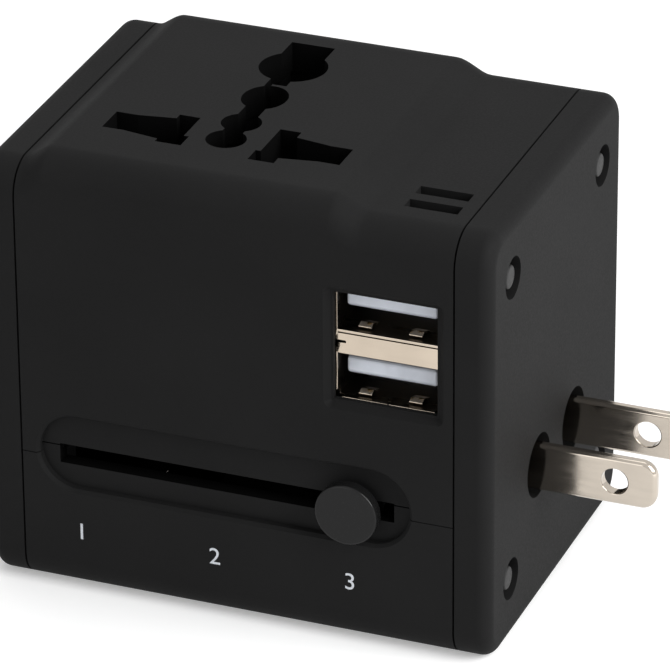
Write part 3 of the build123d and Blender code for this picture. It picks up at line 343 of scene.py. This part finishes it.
class PinSettings(bpy.types.PropertyGroup):
    """Heads of the pins that hold the end plates."""

    head: FloatProperty(
        name="Head", description="Diameter of a pin's head", unit="LENGTH", min=0.0,
        default=3.0 * MM,
    )
    setback: FloatProperty(
        name="Setback", description="How far a head lies below the plate's face", unit="LENGTH",
        min=0.0, default=0.3 * MM,
    )
    recess: FloatProperty(
        name="Recess", description="Depth at which a head starts", unit="LENGTH", min=0.0,
        default=2.55 * MM,
    )
    edge: FloatProperty(
        name="Head edge", description="Rounding of a head", unit="LENGTH", min=0.0,
        default=0.3 * MM,
    )


class NumeralSettings(bpy.types.PropertyGroup):
    """Plain numbers printed below the selector's three positions."""

    height: FloatProperty(
        name="Height", description="Height of a numeral", unit="LENGTH", min=0.0,
        default=2.2 * MM,
    )
    base_z: FloatProperty(
        name="Base line", description="Height of the numerals' foot above the base",
        unit="LENGTH", min=0.0, default=7.5 * MM,
    )
    thickness: FloatProperty(
        name="Ink thickness", description="How far the ink stands out from the casing",
        unit="LENGTH", min=0.0, default=0.02 * MM,
    )


class StageSettings(bpy.types.PropertyGroup):
    """Camera and lights."""

    middle: FloatVectorProperty(
        name="Middle", description="Point of the casing that the camera goes round", size=3,
        subtype="TRANSLATION", unit="LENGTH", default=(-0.88 * MM, 0.0, 31.0 * MM),
    )
    aim_right: FloatProperty(
        name="Aim right", description="How far right of the middle the camera aims",
        unit="LENGTH", default=4.370 * MM,
    )
    aim_down: FloatProperty(
        name="Aim down", description="How far below the middle the camera aims", unit="LENGTH",
        default=2.954 * MM,
    )
    azimuth: FloatProperty(
        name="Azimuth", description="Camera direction, from the front face towards the blades",
        subtype="ANGLE", default=math.radians(21.82),
    )
    elevation: FloatProperty(
        name="Elevation", description="Camera height above the horizon", subtype="ANGLE",
        default=math.radians(27.16),
    )
    roll: FloatProperty(
        name="Roll", description="Camera roll", subtype="ANGLE", default=math.radians(-0.62),
    )
    distance: FloatProperty(
        name="Distance", description="Camera distance from the middle", unit="LENGTH", min=0.0,
        default=0.7197,
    )
    lens: FloatProperty(
        name="Lens", description="Focal length on a 36 mm wide sensor", min=1.0, default=314.2,
    )
    side_power: FloatProperty(
        name="Side power", description="Softbox on the blade side", unit="POWER", min=0.0,
        default=3.1,
    )
    top_power: FloatProperty(
        name="Top power", description="Overhead softbox", unit="POWER", min=0.0, default=0.6,
    )
    front_power: FloatProperty(
        name="Front power", description="Large soft light in front", unit="POWER", min=0.0,
        default=0.8,
    )
    room: FloatProperty(
        name="Room", description="Strength of the room's own light", min=0.0, default=0.25,
    )


def settings(group):
    """One of the adapter's property groups."""
    return getattr(bpy.context.scene, "adapter_" + group)


# Finishes

FINISHES = {}


def finish(key):
    """A material of the adapter, made once."""
    if key not in FINISHES:
        FINISHES[key] = FINISH_MAKERS[key](settings("finish"))
    return FINISHES[key]


FINISH_MAKERS = {
    "casing": lambda s: moulded_plastic(
        "casing_plastic", s.casing_colour, s.casing_roughness, s.grain, s.grain_depth,
        s.casing_gloss,
    ),
    "inner": lambda s: moulded_plastic(
        "inner_plastic", shade(s.casing_colour, 0.8), 0.5, s.grain, s.grain_depth
    ),
    "knob": lambda s: moulded_plastic(
        "knob_finish", shade(s.casing_colour, 0.9), 0.22, grain=4200.0, depth=0.004 * MM,
        gloss=2.1 * s.casing_gloss,
    ),
    # painted shade: the walls of the socket apertures and of the selector slot get the casing's
    # colour at 0.3 and next to no gloss, so they read as deep shadow
    "painted_wall_shade": lambda s: moulded_plastic(
        "painted_wall_shade_plastic", shade(s.casing_colour, 0.3), 0.8, s.grain, s.grain_depth, gloss=0.01
    ),
    "insulator": lambda s: moulded_plastic(
        "insulator_finish", (0.004, 0.004, 0.0042), 0.6, s.grain, s.grain_depth, gloss=0.05
    ),
    "nickel": lambda s: plated_metal(
        "blade_nickel", s.nickel_colour, 0.12, stretch=(1.5, 12.0, 12.0), depth=0.003 * MM
    ),
    "port_metal": lambda s: plated_metal(
        "port_nickel", s.port_colour, 0.18, stretch=(1.0, 6.0, 9.0), depth=0.004 * MM
    ),
    # painted shade: the port's plated metal at 0.16 of its colour inside the folded sheet, where
    # shade falls
    "port_painted_shade": lambda s: plated_metal(
        "port_painted_shade", shade(s.port_colour, 0.16), 0.28, stretch=(1.0, 6.0, 9.0),
        depth=0.004 * MM,
    ),
    "steel": lambda s: plated_metal(
        "spring_finish", (0.5, 0.5, 0.5), 0.3, stretch=(2, 2, 2), depth=0.004 * MM
    ),
    "brass": lambda s: plated_metal(
        "strip_brass", (0.62, 0.44, 0.16), 0.32, stretch=(1, 9, 9), depth=0.006 * MM
    ),
    "gold": lambda s: plated_metal(
        "contact_finish", (0.8, 0.56, 0.2), 0.22, stretch=(9, 1, 9), depth=0.004 * MM
    ),
    "tongue": lambda s: clean_resin("tongue_resin", s.tongue_colour, 0.4),
    "ceramic": lambda s: clean_resin("fuse_ceramic", (0.66, 0.64, 0.6), 0.35),
    "sleeve": lambda s: clean_resin("capacitor_sleeve", (0.02, 0.03, 0.08), 0.3),
    "ferrite": lambda s: moulded_plastic(
        "ferrite_finish", (0.03, 0.03, 0.032), 0.5, grain=2500.0, depth=0.03 * MM
    ),
    "board": lambda s: circuit_board("board_mask", (0.012, 0.085, 0.035)),
    "tape": lambda s: wound_tape("winding_tape", (0.75, 0.55, 0.06)),
    "ink": lambda s: printed_ink("numeral_ink", s.ink_colour),
}


# Pieces

def merged(mesh, recalculate=False):
    """Merges a mesh's doubles, evens out the triangles of its flat faces, and turns its faces
    outwards where asked."""
    work = bmesh.new()
    work.from_mesh(mesh)
    bmesh.ops.remove_doubles(work, verts=work.verts, dist=DOUBLES)
    bmesh.ops.dissolve_degenerate(work, dist=SLIVER, edges=work.edges)
    flat = [e for e in work.edges if e.is_manifold and e.calc_face_angle(1.0) < FLAT]
    bmesh.ops.beautify_fill(work, faces=work.faces, edges=flat, method="ANGLE")
    if recalculate:
        bmesh.ops.recalc_face_normals(work, faces=work.faces)
    work.to_mesh(mesh)
    work.free()
    return mesh


def new_piece(name, mesh, key, body, slot):
    """A finished object that rides a body, smooth but for the edges marked sharp."""
    mesh.shade_smooth()
    mesh.set_sharp_from_angle(angle=SHARP)  # inexact on a CAD copy, which has custom normals
    mesh.materials.clear()
    mesh.materials.append(finish(key))
    piece = bpy.data.objects.new(name, mesh)
    bpy.context.scene.collection.objects.link(piece)
    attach(piece, body)
    return piece


def finished_copy(node, key):
    """A merged copy of a CAD node, in its place and instead of it."""
    source = NODES[node]
    mesh = merged(source.data.copy())
    mesh.name = node + "_finished"
    piece = new_piece(mesh.name, mesh, key, source["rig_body"], slot_of(node))
    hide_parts(node)
    return piece


def rounded_copy(node, key, width, segments=2):
    """A finished copy whose sharp edges are rounded, with even shading on its flat faces."""
    piece = finished_copy(node, key)
    bevel = piece.modifiers.new("rounded_edges", "BEVEL")
    bevel.width = width
    bevel.segments = segments
    bevel.limit_method = "ANGLE"
    bevel.angle_limit = SHARP
    bevel.use_clamp_overlap = False
    bevel.loop_slide = False
    bevel.face_strength_mode = "FSTR_ALL"
    bevel.miter_outer = "MITER_ARC"
    normals = piece.modifiers.new("even_faces", "WEIGHTED_NORMAL")
    normals.mode = "FACE_AREA"
    normals.weight = 80
    normals.use_face_influence = True
    normals.keep_sharp = True
    return piece


def region_widths(work):
    """Width of the flat region that each face lies in: twice the region's area over the length
    of its outline."""
    widths = {}
    for start in work.faces:
        if start in widths:
            continue
        region, queue, outline = [], [start], 0.0
        widths[start] = 0.0
        while queue:
            face = queue.pop()
            region.append(face)
            for edge in face.edges:
                if not edge.is_manifold or edge.calc_face_angle() > FLAT:
                    outline += edge.calc_length()
                    continue
                for other in edge.link_faces:
                    if other not in widths:
                        widths[other] = 0.0
                        queue.append(other)
        width = 2 * sum(face.calc_area() for face in region) / outline
        widths.update((face, width) for face in region)
    return widths


def smooth_fans(vertex):
    """Groups of the faces round a vertex that no sharp edge parts."""
    beside = {face: [] for face in vertex.link_faces}
    for edge in vertex.link_edges:
        if edge.is_manifold and edge.calc_face_angle() < SHARP:
            first, second = edge.link_faces
            beside[first].append(second)
            beside[second].append(first)
    left = list(beside)
    while left:
        fan, queue = [], [left.pop()]
        while queue:
            face = queue.pop()
            fan.append(face)
            for other in beside[face]:
                if other in left:
                    left.remove(other)
                    queue.append(other)
        yield fan


def even_normals(mesh, strip):
    """Shades wide flat faces flat and lets the narrow strips of rounded edges run smoothly into
    them. A strip's corner takes the normal of the largest wide face it meets there, or else the
    mean normal of the strips round it, weighted by area."""
    work = bmesh.new()
    work.from_mesh(mesh)
    widths = region_widths(work)
    normals = {}
    for vertex in work.verts:
        for fan in smooth_fans(vertex):
            wide = [face for face in fan if widths[face] > strip]
            if wide:
                shared = max(wide, key=lambda face: face.calc_area()).normal.copy()
            else:
                shared = sum((face.normal * face.calc_area() for face in fan), Vector())
                shared.normalize()
            for face in fan:
                normals[face, vertex] = face.normal.copy() if face in wide else shared
    corners = [normals[face, loop.vert] for face in work.faces for loop in face.loops]
    work.free()
    mesh.normals_split_custom_set(corners)


def smooth_copy(node, key):
    """A finished copy with even shading on flat faces and on rounded edges."""
    piece = finished_copy(node, key)
    even_normals(piece.data, settings("edges").strip)
    return piece


def face_data(mesh):
    """Centres and normals of a mesh's faces."""
    centres = np.empty((len(mesh.polygons), 3))
    normals = np.empty_like(centres)
    mesh.polygons.foreach_get("center", centres.ravel())
    mesh.polygons.foreach_get("normal", normals.ravel())
    return centres, normals


def second_finish(piece, key, chosen):
    """Gives the chosen faces of a piece a material of their own: the darker material that paints
    shade on them.
    """
    piece.data.materials.append(finish(key))
    piece.data.polygons.foreach_set("material_index", chosen.astype(np.int32))


def finish_inside(piece, key):
    """Painted shade on a folded shell: a second, darker material on its faces square to the axes
    behind the front.
    """
    centres, normals = face_data(piece.data)
    behind = centres[:, 1] > centres[:, 1].min() + settings("finish").port_rim
    square = np.abs(normals).max(axis=1) > SQUARE
    second_finish(piece, key, behind & square)


def walls_along(piece, axis, low, high):
    """Says which faces run along an axis (0, 1 or 2) and have their centres in a box with the
    corners low and high."""
    centres, normals = face_data(piece.data)
    between = ((centres > low) & (centres < high)).all(axis=1)
    return between & (np.abs(normals[:, axis]) < ALONG)


def socket_walls(shell):
    """Says which faces of a shell are walls of the apertures into the socket block."""
    (left, front, _), (right, back, _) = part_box("socket_block")
    (_, _, low), (_, _, high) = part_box("upper_shell")
    return walls_along(shell, 2, (left, front, low), (right, back, high))


def slot_walls(shell):
    """Says which faces of a shell are walls of the selector slot, behind its recess."""
    (left, front, _), (right, _, _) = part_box("upper_shell")
    (_, _, low), (_, _, high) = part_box("knob")
    start = front + settings("finish").slot_recess
    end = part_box("carriage")[0][1]
    return walls_along(shell, 1, (left, start, low), (right, end, high))


def turned(profile, centre, sides=64):
    """Points of a turned pin: a profile point (radius r, place a) becomes the circle x = a,
    y = cy + r cos t, z = cz + r sin t, with t once round the axis."""
    radius, along = np.asarray(profile).T
    t = np.linspace(0, 2 * np.pi, sides, endpoint=False)
    grid = np.empty((len(radius), sides, 3))
    grid[..., 0] = along[:, None]
    grid[..., 1] = centre[0] + radius[:, None] * np.cos(t)
    grid[..., 2] = centre[1] + radius[:, None] * np.sin(t)
    return grid


def mesh_of_grids(name, grids):
    """One mesh of several grids of points whose columns close round."""
    points, faces, first = [], [], 0
    for grid in grids:
        rows, columns = grid.shape[:2]
        row, column = np.mgrid[0:rows - 1, 0:columns]
        beside = (column + 1) % columns
        loop = (row * columns + column, row * columns + beside,
                (row + 1) * columns + beside, (row + 1) * columns + column)
        points.append(grid.reshape(-1, 3))
        faces.append(np.stack(loop, axis=-1).reshape(-1, 4) + first)
        first += rows * columns
    mesh = bpy.data.meshes.new(name)
    mesh.from_pydata(np.concatenate(points).tolist(), [], np.concatenate(faces).tolist())
    return merged(mesh, recalculate=True)


def plate_pins(side, sign, steps=4):
    """Four pins at the CAD pins' places, from their inner ends to just below the plate's face.
    The rim of a head of radius h is a quarter circle of radius e: r = h - e (1 - cos a) and
    x = top - sign e (1 - sin a), with a from 0 to a quarter turn."""
    size = settings("pins")
    node = side + "_plate_pins"
    vertices = NODES[node].data.vertices
    points = np.empty((len(vertices), 3))
    vertices.foreach_get("co", points.ravel())
    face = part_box(side + "_end_plate")[(1 + sign) // 2][0]
    inner = points[np.argmin(sign * points[:, 0]), 0]
    top, shoulder = face - sign * size.setback, face - sign * size.recess
    head = size.head / 2
    a = np.linspace(0, np.pi / 2, steps + 1)
    rim = zip(head - size.edge * (1 - np.cos(a)), top - sign * size.edge * (1 - np.sin(a)))
    outer = [(head, shoulder), *rim, (0, top)]
    middle = (points.min(axis=0) + points.max(axis=0)) / 2
    quarters = (points[:, 1] > middle[1]) * 2 + (points[:, 2] > middle[2])
    grids = []
    for quarter in range(4):
        own = points[quarters == quarter]
        low, high = own.min(axis=0), own.max(axis=0)
        shank = (high[1] - low[1]) / 2
        profile = [(0, inner), (shank, inner), (shank, shoulder), *outer]
        grids.append(turned(profile, (low + high)[1:] / 2))
    mesh = mesh_of_grids(node + "_turned", grids)
    piece = new_piece(mesh.name, mesh, "inner", "casing", slot_of(node))
    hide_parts(node)


def numeral(text, x, face_y):
    """A printed number: the font's outline laid flat on the front face."""
    size = settings("numerals")
    curve = bpy.data.curves.new("numeral_" + text, "FONT")
    curve.body = text
    curve.size = size.height / DIGIT_HEIGHT
    curve.align_x = "CENTER"
    curve.extrude = size.thickness
    curve.resolution_u = 8
    letter = bpy.data.objects.new("numeral_shape", curve)
    bpy.context.scene.collection.objects.link(letter)
    bpy.context.view_layer.update()
    mesh = bpy.data.meshes.new_from_object(letter)
    bpy.data.objects.remove(letter)
    upright = Matrix.Rotation(math.pi / 2, 4, "X")
    mesh.transform(Matrix.Translation((x, face_y, size.base_z)) @ upright)
    merged(mesh, recalculate=True)
    new_piece("printed_number_" + text, mesh, "ink", "casing", "black_plastic")


def dress(node, key):
    """Gives a carried-over CAD node its finish."""
    mesh = NODES[node].data
    mesh.materials.clear()
    mesh.materials.append(finish(key))


# Stage

def photo_camera(scene, stage):
    """The camera stands in the fitted direction from the casing's middle, and aims right of it
    and below it, because the photograph has the middle left of its centre and above it."""
    a, e = stage.azimuth, stage.elevation
    middle = Vector(stage.middle)
    back = Vector((math.sin(a) * math.cos(e), -math.cos(a) * math.cos(e), math.sin(e)))
    right = Vector((math.cos(a), math.sin(a), 0.0))
    level = Matrix((right, back.cross(right), back)).transposed()
    rolled = level @ Matrix.Rotation(stage.roll, 3, "Z")
    right, up = rolled.col[0], rolled.col[1]
    spot = middle + back * stage.distance
    aim = middle + right * stage.aim_right - up * stage.aim_down
    axis = (spot - aim).normalized()
    side = up.cross(axis).normalized()
    turn = Matrix((side, axis.cross(side), axis)).transposed()
    data = bpy.data.cameras.new("photo_camera")
    data.lens = stage.lens
    data.sensor_width = 36.0
    data.clip_start, data.clip_end = 0.05, 20.0
    camera = bpy.data.objects.new("photo_camera", data)
    camera.matrix_world = Matrix.Translation(spot) @ turn.to_4x4()
    scene.collection.objects.link(camera)
    scene.camera = camera


def softbox(name, power, place, size, target=(0.0, 0.0, 0.03)):
    """A square area light that faces the object."""
    data = bpy.data.lights.new(name, "AREA")
    data.shape = "SQUARE"
    data.size = size
    data.energy = power
    light = bpy.data.objects.new(name, data)
    light.location = place
    aim = Vector(target) - Vector(place)
    light.rotation_mode = "QUATERNION"
    light.rotation_quaternion = aim.to_track_quat("-Z", "Y")
    bpy.context.scene.collection.objects.link(light)


def seen_directly(tree):
    """Is 1 for rays that show a surface: from the camera, mirrored, or through glass."""
    rays = tree.nodes.new("ShaderNodeLightPath")
    value = rays.outputs["Is Camera Ray"]
    for name in ("Is Glossy Ray", "Is Transmission Ray"):
        larger = tree.nodes.new("ShaderNodeMath")
        larger.operation = "MAXIMUM"
        tree.links.new(value, larger.inputs[0])
        tree.links.new(rays.outputs[name], larger.inputs[1])
        value = larger.outputs[0]
    return value


def pale_floor():
    """A white paper floor, far larger than the view and just below the object. Where it is seen
    it is lifted towards white, more so far from the object, out of the lamps' reach."""
    reach, low = 6.0, -0.02 * MM
    near, near_lift = 0.12, 0.3
    far, far_lift = 0.60, 0.8
    mesh = bpy.data.meshes.new("floor")
    corners = [(x * reach, y * reach, low) for x, y in ((-1, -1), (1, -1), (1, 1), (-1, 1))]
    mesh.from_pydata(corners, [], [(0, 1, 2, 3)])
    floor = bpy.data.objects.new("floor", mesh)
    bpy.context.scene.collection.objects.link(floor)
    shader = Shader("floor_paper")
    grain = shader.noise(shader.place(), scale=900.0)
    paper = shader.blend(shader.spread(grain, 0.0, 1.0), (0.92, 0.92, 0.92), (0.90, 0.90, 0.90))
    distance = shader.node("ShaderNodeVectorMath", {0: shader.place()}, operation="LENGTH")
    white = shader.spread(distance.outputs["Value"], near_lift, far_lift, near, far)
    lift = shader.spread(seen_directly(shader.tree), 0.0, white, start=0.0, end=1.0)
    shader.finish(
        Base_Color=paper, Roughness=0.95, Specular_IOR_Level=0.1,
        Emission_Color=(1.0, 1.0, 1.0), Emission_Strength=lift,
    )
    mesh.materials.append(shader.material)


def studio_room(scene, strength):
    """A dim grey room whose background is seen as white. The mix takes its first input, the
    room's own light, for rays that don't show a surface."""
    world = bpy.data.worlds.new("studio")
    world.use_nodes = True
    tree = world.node_tree
    tree.nodes.clear()
    pick = tree.nodes.new("ShaderNodeMixShader")
    output = tree.nodes.new("ShaderNodeOutputWorld")
    tree.links.new(seen_directly(tree), pick.inputs["Fac"])
    for index, power in ((1, strength), (2, 1.0)):
        room = tree.nodes.new("ShaderNodeBackground")
        room.inputs["Color"].default_value = (1, 1, 1, 1)
        room.inputs["Strength"].default_value = power
        tree.links.new(room.outputs[0], pick.inputs[index])
    tree.links.new(pick.outputs[0], output.inputs["Surface"])
    scene.world = world


# Operators

class ADAPTER_OT_stage(bpy.types.Operator):
    """Camera at the photographed angle, soft lights and a pale floor"""

    bl_idname = "adapter.stage"
    bl_label = "Stage"

    def execute(self, context):
        stage = settings("stage")
        scene = context.scene
        scene.view_settings.view_transform = "Standard"
        photo_camera(scene, stage)
        softbox("side_softbox", stage.side_power, place=(0.42, -0.10, 0.30), size=0.36)
        softbox("top_softbox", stage.top_power, place=(-0.05, 0.10, 0.55), size=0.40)
        softbox("front_softbox", stage.front_power, place=(-0.30, -0.60, 0.30), size=0.50)
        pale_floor()
        studio_room(scene, stage.room)
        return {"FINISHED"}


class ADAPTER_OT_casing(bpy.types.Operator):
    """Shells and end plates of moulded plastic"""

    bl_idname = "adapter.casing"
    bl_label = "Casing"

    def execute(self, context):
        upper = smooth_copy("upper_shell", "casing")
        # painted shade on the walls of the socket apertures and of the selector slot in both
        # shells
        second_finish(upper, "painted_wall_shade", socket_walls(upper) | slot_walls(upper))
        lower = smooth_copy("lower_shell", "casing")
        second_finish(lower, "painted_wall_shade", slot_walls(lower))
        for node in ("left_end_plate", "right_end_plate"):
            smooth_copy(node, "casing")
        return {"FINISHED"}


class ADAPTER_OT_plate_pins(bpy.types.Operator):
    """Turned pins that hold the end plates, with a wider head in each recess"""

    bl_idname = "adapter.plate_pins"
    bl_label = "Plate pins"

    def execute(self, context):
        for side, sign in (("left", -1), ("right", 1)):
            plate_pins(side, sign)
        return {"FINISHED"}


class ADAPTER_OT_blades(bpy.types.Operator):
    """Flat blades with rounded edges, and the turrets that let them turn"""

    bl_idname = "adapter.blades"
    bl_label = "Flat blades"

    def execute(self, context):
        edges = settings("edges")
        for side in ("front", "rear"):
            rounded_copy(side + "_blade", "nickel", edges.blade, segments=3)
            rounded_copy(side + "_turret", "inner", edges.small)
        return {"FINISHED"}


class ADAPTER_OT_pins(bpy.types.Operator):
    """Rectangular and round plug pins, their sleeves and the fold-out block"""

    bl_idname = "adapter.pins"
    bl_label = "Plug pins"

    def execute(self, context):
        edges = settings("edges")
        for node in ("uk_live_pin", "uk_neutral_pin", "euro_live_pin", "euro_neutral_pin"):
            rounded_copy(node, "nickel", edges.sheet)
        for node in ("uk_earth_pin", "uk_pin_sleeves", "euro_pin_sleeves"):
            rounded_copy(node, "inner", edges.sheet)
        for node in ("euro_tray", "euro_block"):
            smooth_copy(node, "casing")
        dress("euro_hinge_pin", "steel")
        return {"FINISHED"}


class ADAPTER_OT_ports(bpy.types.Operator):
    """Folded sheet, tongues and contacts of the double port"""

    bl_idname = "adapter.ports"
    bl_label = "Ports"

    def execute(self, context):
        edges = settings("edges")
        # painted shade: the inside of the port's folded sheet gets the darkened metal
        finish_inside(rounded_copy("usb_shell", "port_metal", edges.sheet), "port_painted_shade")
        rounded_copy("usb_tongues", "tongue", edges.tongue, segments=4)
        rounded_copy("usb_contacts", "gold", edges.sheet / 2)
        return {"FINISHED"}


class ADAPTER_OT_selector(bpy.types.Operator):
    """Knob, carriage and springs, and the socket block with its strips"""

    bl_idname = "adapter.selector"
    bl_label = "Selector"

    def execute(self, context):
        edges = settings("edges")
        rounded_copy("knob", "knob", 2 * edges.small, segments=4)
        smooth_copy("carriage", "inner")
        smooth_copy("socket_block", "insulator")
        for node in ("knob_spring", "detent_spring"):
            dress(node, "steel")
        for node in ("live_wiper", "neutral_wiper", "live_contact", "neutral_contact",
                     "neutral_link", "live_rail", "neutral_rail"):
            dress(node, "brass")
        return {"FINISHED"}


class ADAPTER_OT_charger(bpy.types.Operator):
    """Board, transformer, capacitors and fuse"""

    bl_idname = "adapter.charger"
    bl_label = "Charger"

    def execute(self, context):
        finishes = {
            "charger_board": "board", "transformer_core": "ferrite",
            "transformer_winding": "tape", "capacitors": "sleeve", "fuse": "ceramic",
        }
        for node, key in finishes.items():
            dress(node, key)
        return {"FINISHED"}


class ADAPTER_OT_numerals(bpy.types.Operator):
    """Plain numbers printed below the selector's positions"""

    bl_idname = "adapter.numerals"
    bl_label = "Numerals"

    def execute(self, context):
        travel = joint("selector_slide")["range_m"][0]
        knob_x = node_centre("knob").x
        face_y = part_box("lower_shell")[0][1]
        for number, part in enumerate((1.0, 0.5, 0.0), start=1):
            numeral(str(number), knob_x + travel * part, face_y)
        return {"FINISHED"}


# Add-on

PROPERTY_GROUPS = {
    "finish": FinishSettings,
    "edges": EdgeSettings,
    "pins": PinSettings,
    "numerals": NumeralSettings,
    "stage": StageSettings,
}
OPERATORS = (
    ADAPTER_OT_stage, ADAPTER_OT_casing, ADAPTER_OT_plate_pins, ADAPTER_OT_blades,
    ADAPTER_OT_pins, ADAPTER_OT_ports, ADAPTER_OT_selector, ADAPTER_OT_charger,
    ADAPTER_OT_numerals,
)


class ADAPTER_PT_panel(bpy.types.Panel):
    """Lists the adapter's operators"""

    bl_idname = "ADAPTER_PT_panel"
    bl_label = "Travel adapter"
    bl_space_type = "VIEW_3D"
    bl_region_type = "UI"
    bl_category = "Adapter"

    def draw(self, context):
        for operator in OPERATORS:
            self.layout.operator(operator.bl_idname)


def register():
    """Registers the classes and gives the scene its settings."""
    for key, group in PROPERTY_GROUPS.items():
        bpy.utils.register_class(group)
        setattr(bpy.types.Scene, "adapter_" + key, PointerProperty(type=group))
    for kind in (*OPERATORS, ADAPTER_PT_panel):
        bpy.utils.register_class(kind)


def unregister():
    """Takes the classes and the settings away again."""
    for kind in reversed((*OPERATORS, ADAPTER_PT_panel)):
        bpy.utils.unregister_class(kind)
    for key, group in reversed(PROPERTY_GROUPS.items()):
        delattr(bpy.types.Scene, "adapter_" + key)
        bpy.utils.unregister_class(group)


def main():
    """Registers the add-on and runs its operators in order."""
    register()
    for operator in OPERATORS:
        area, name = operator.bl_idname.split(".")
        getattr(getattr(bpy.ops, area), name)()


if __name__ == "__main__":
    main()
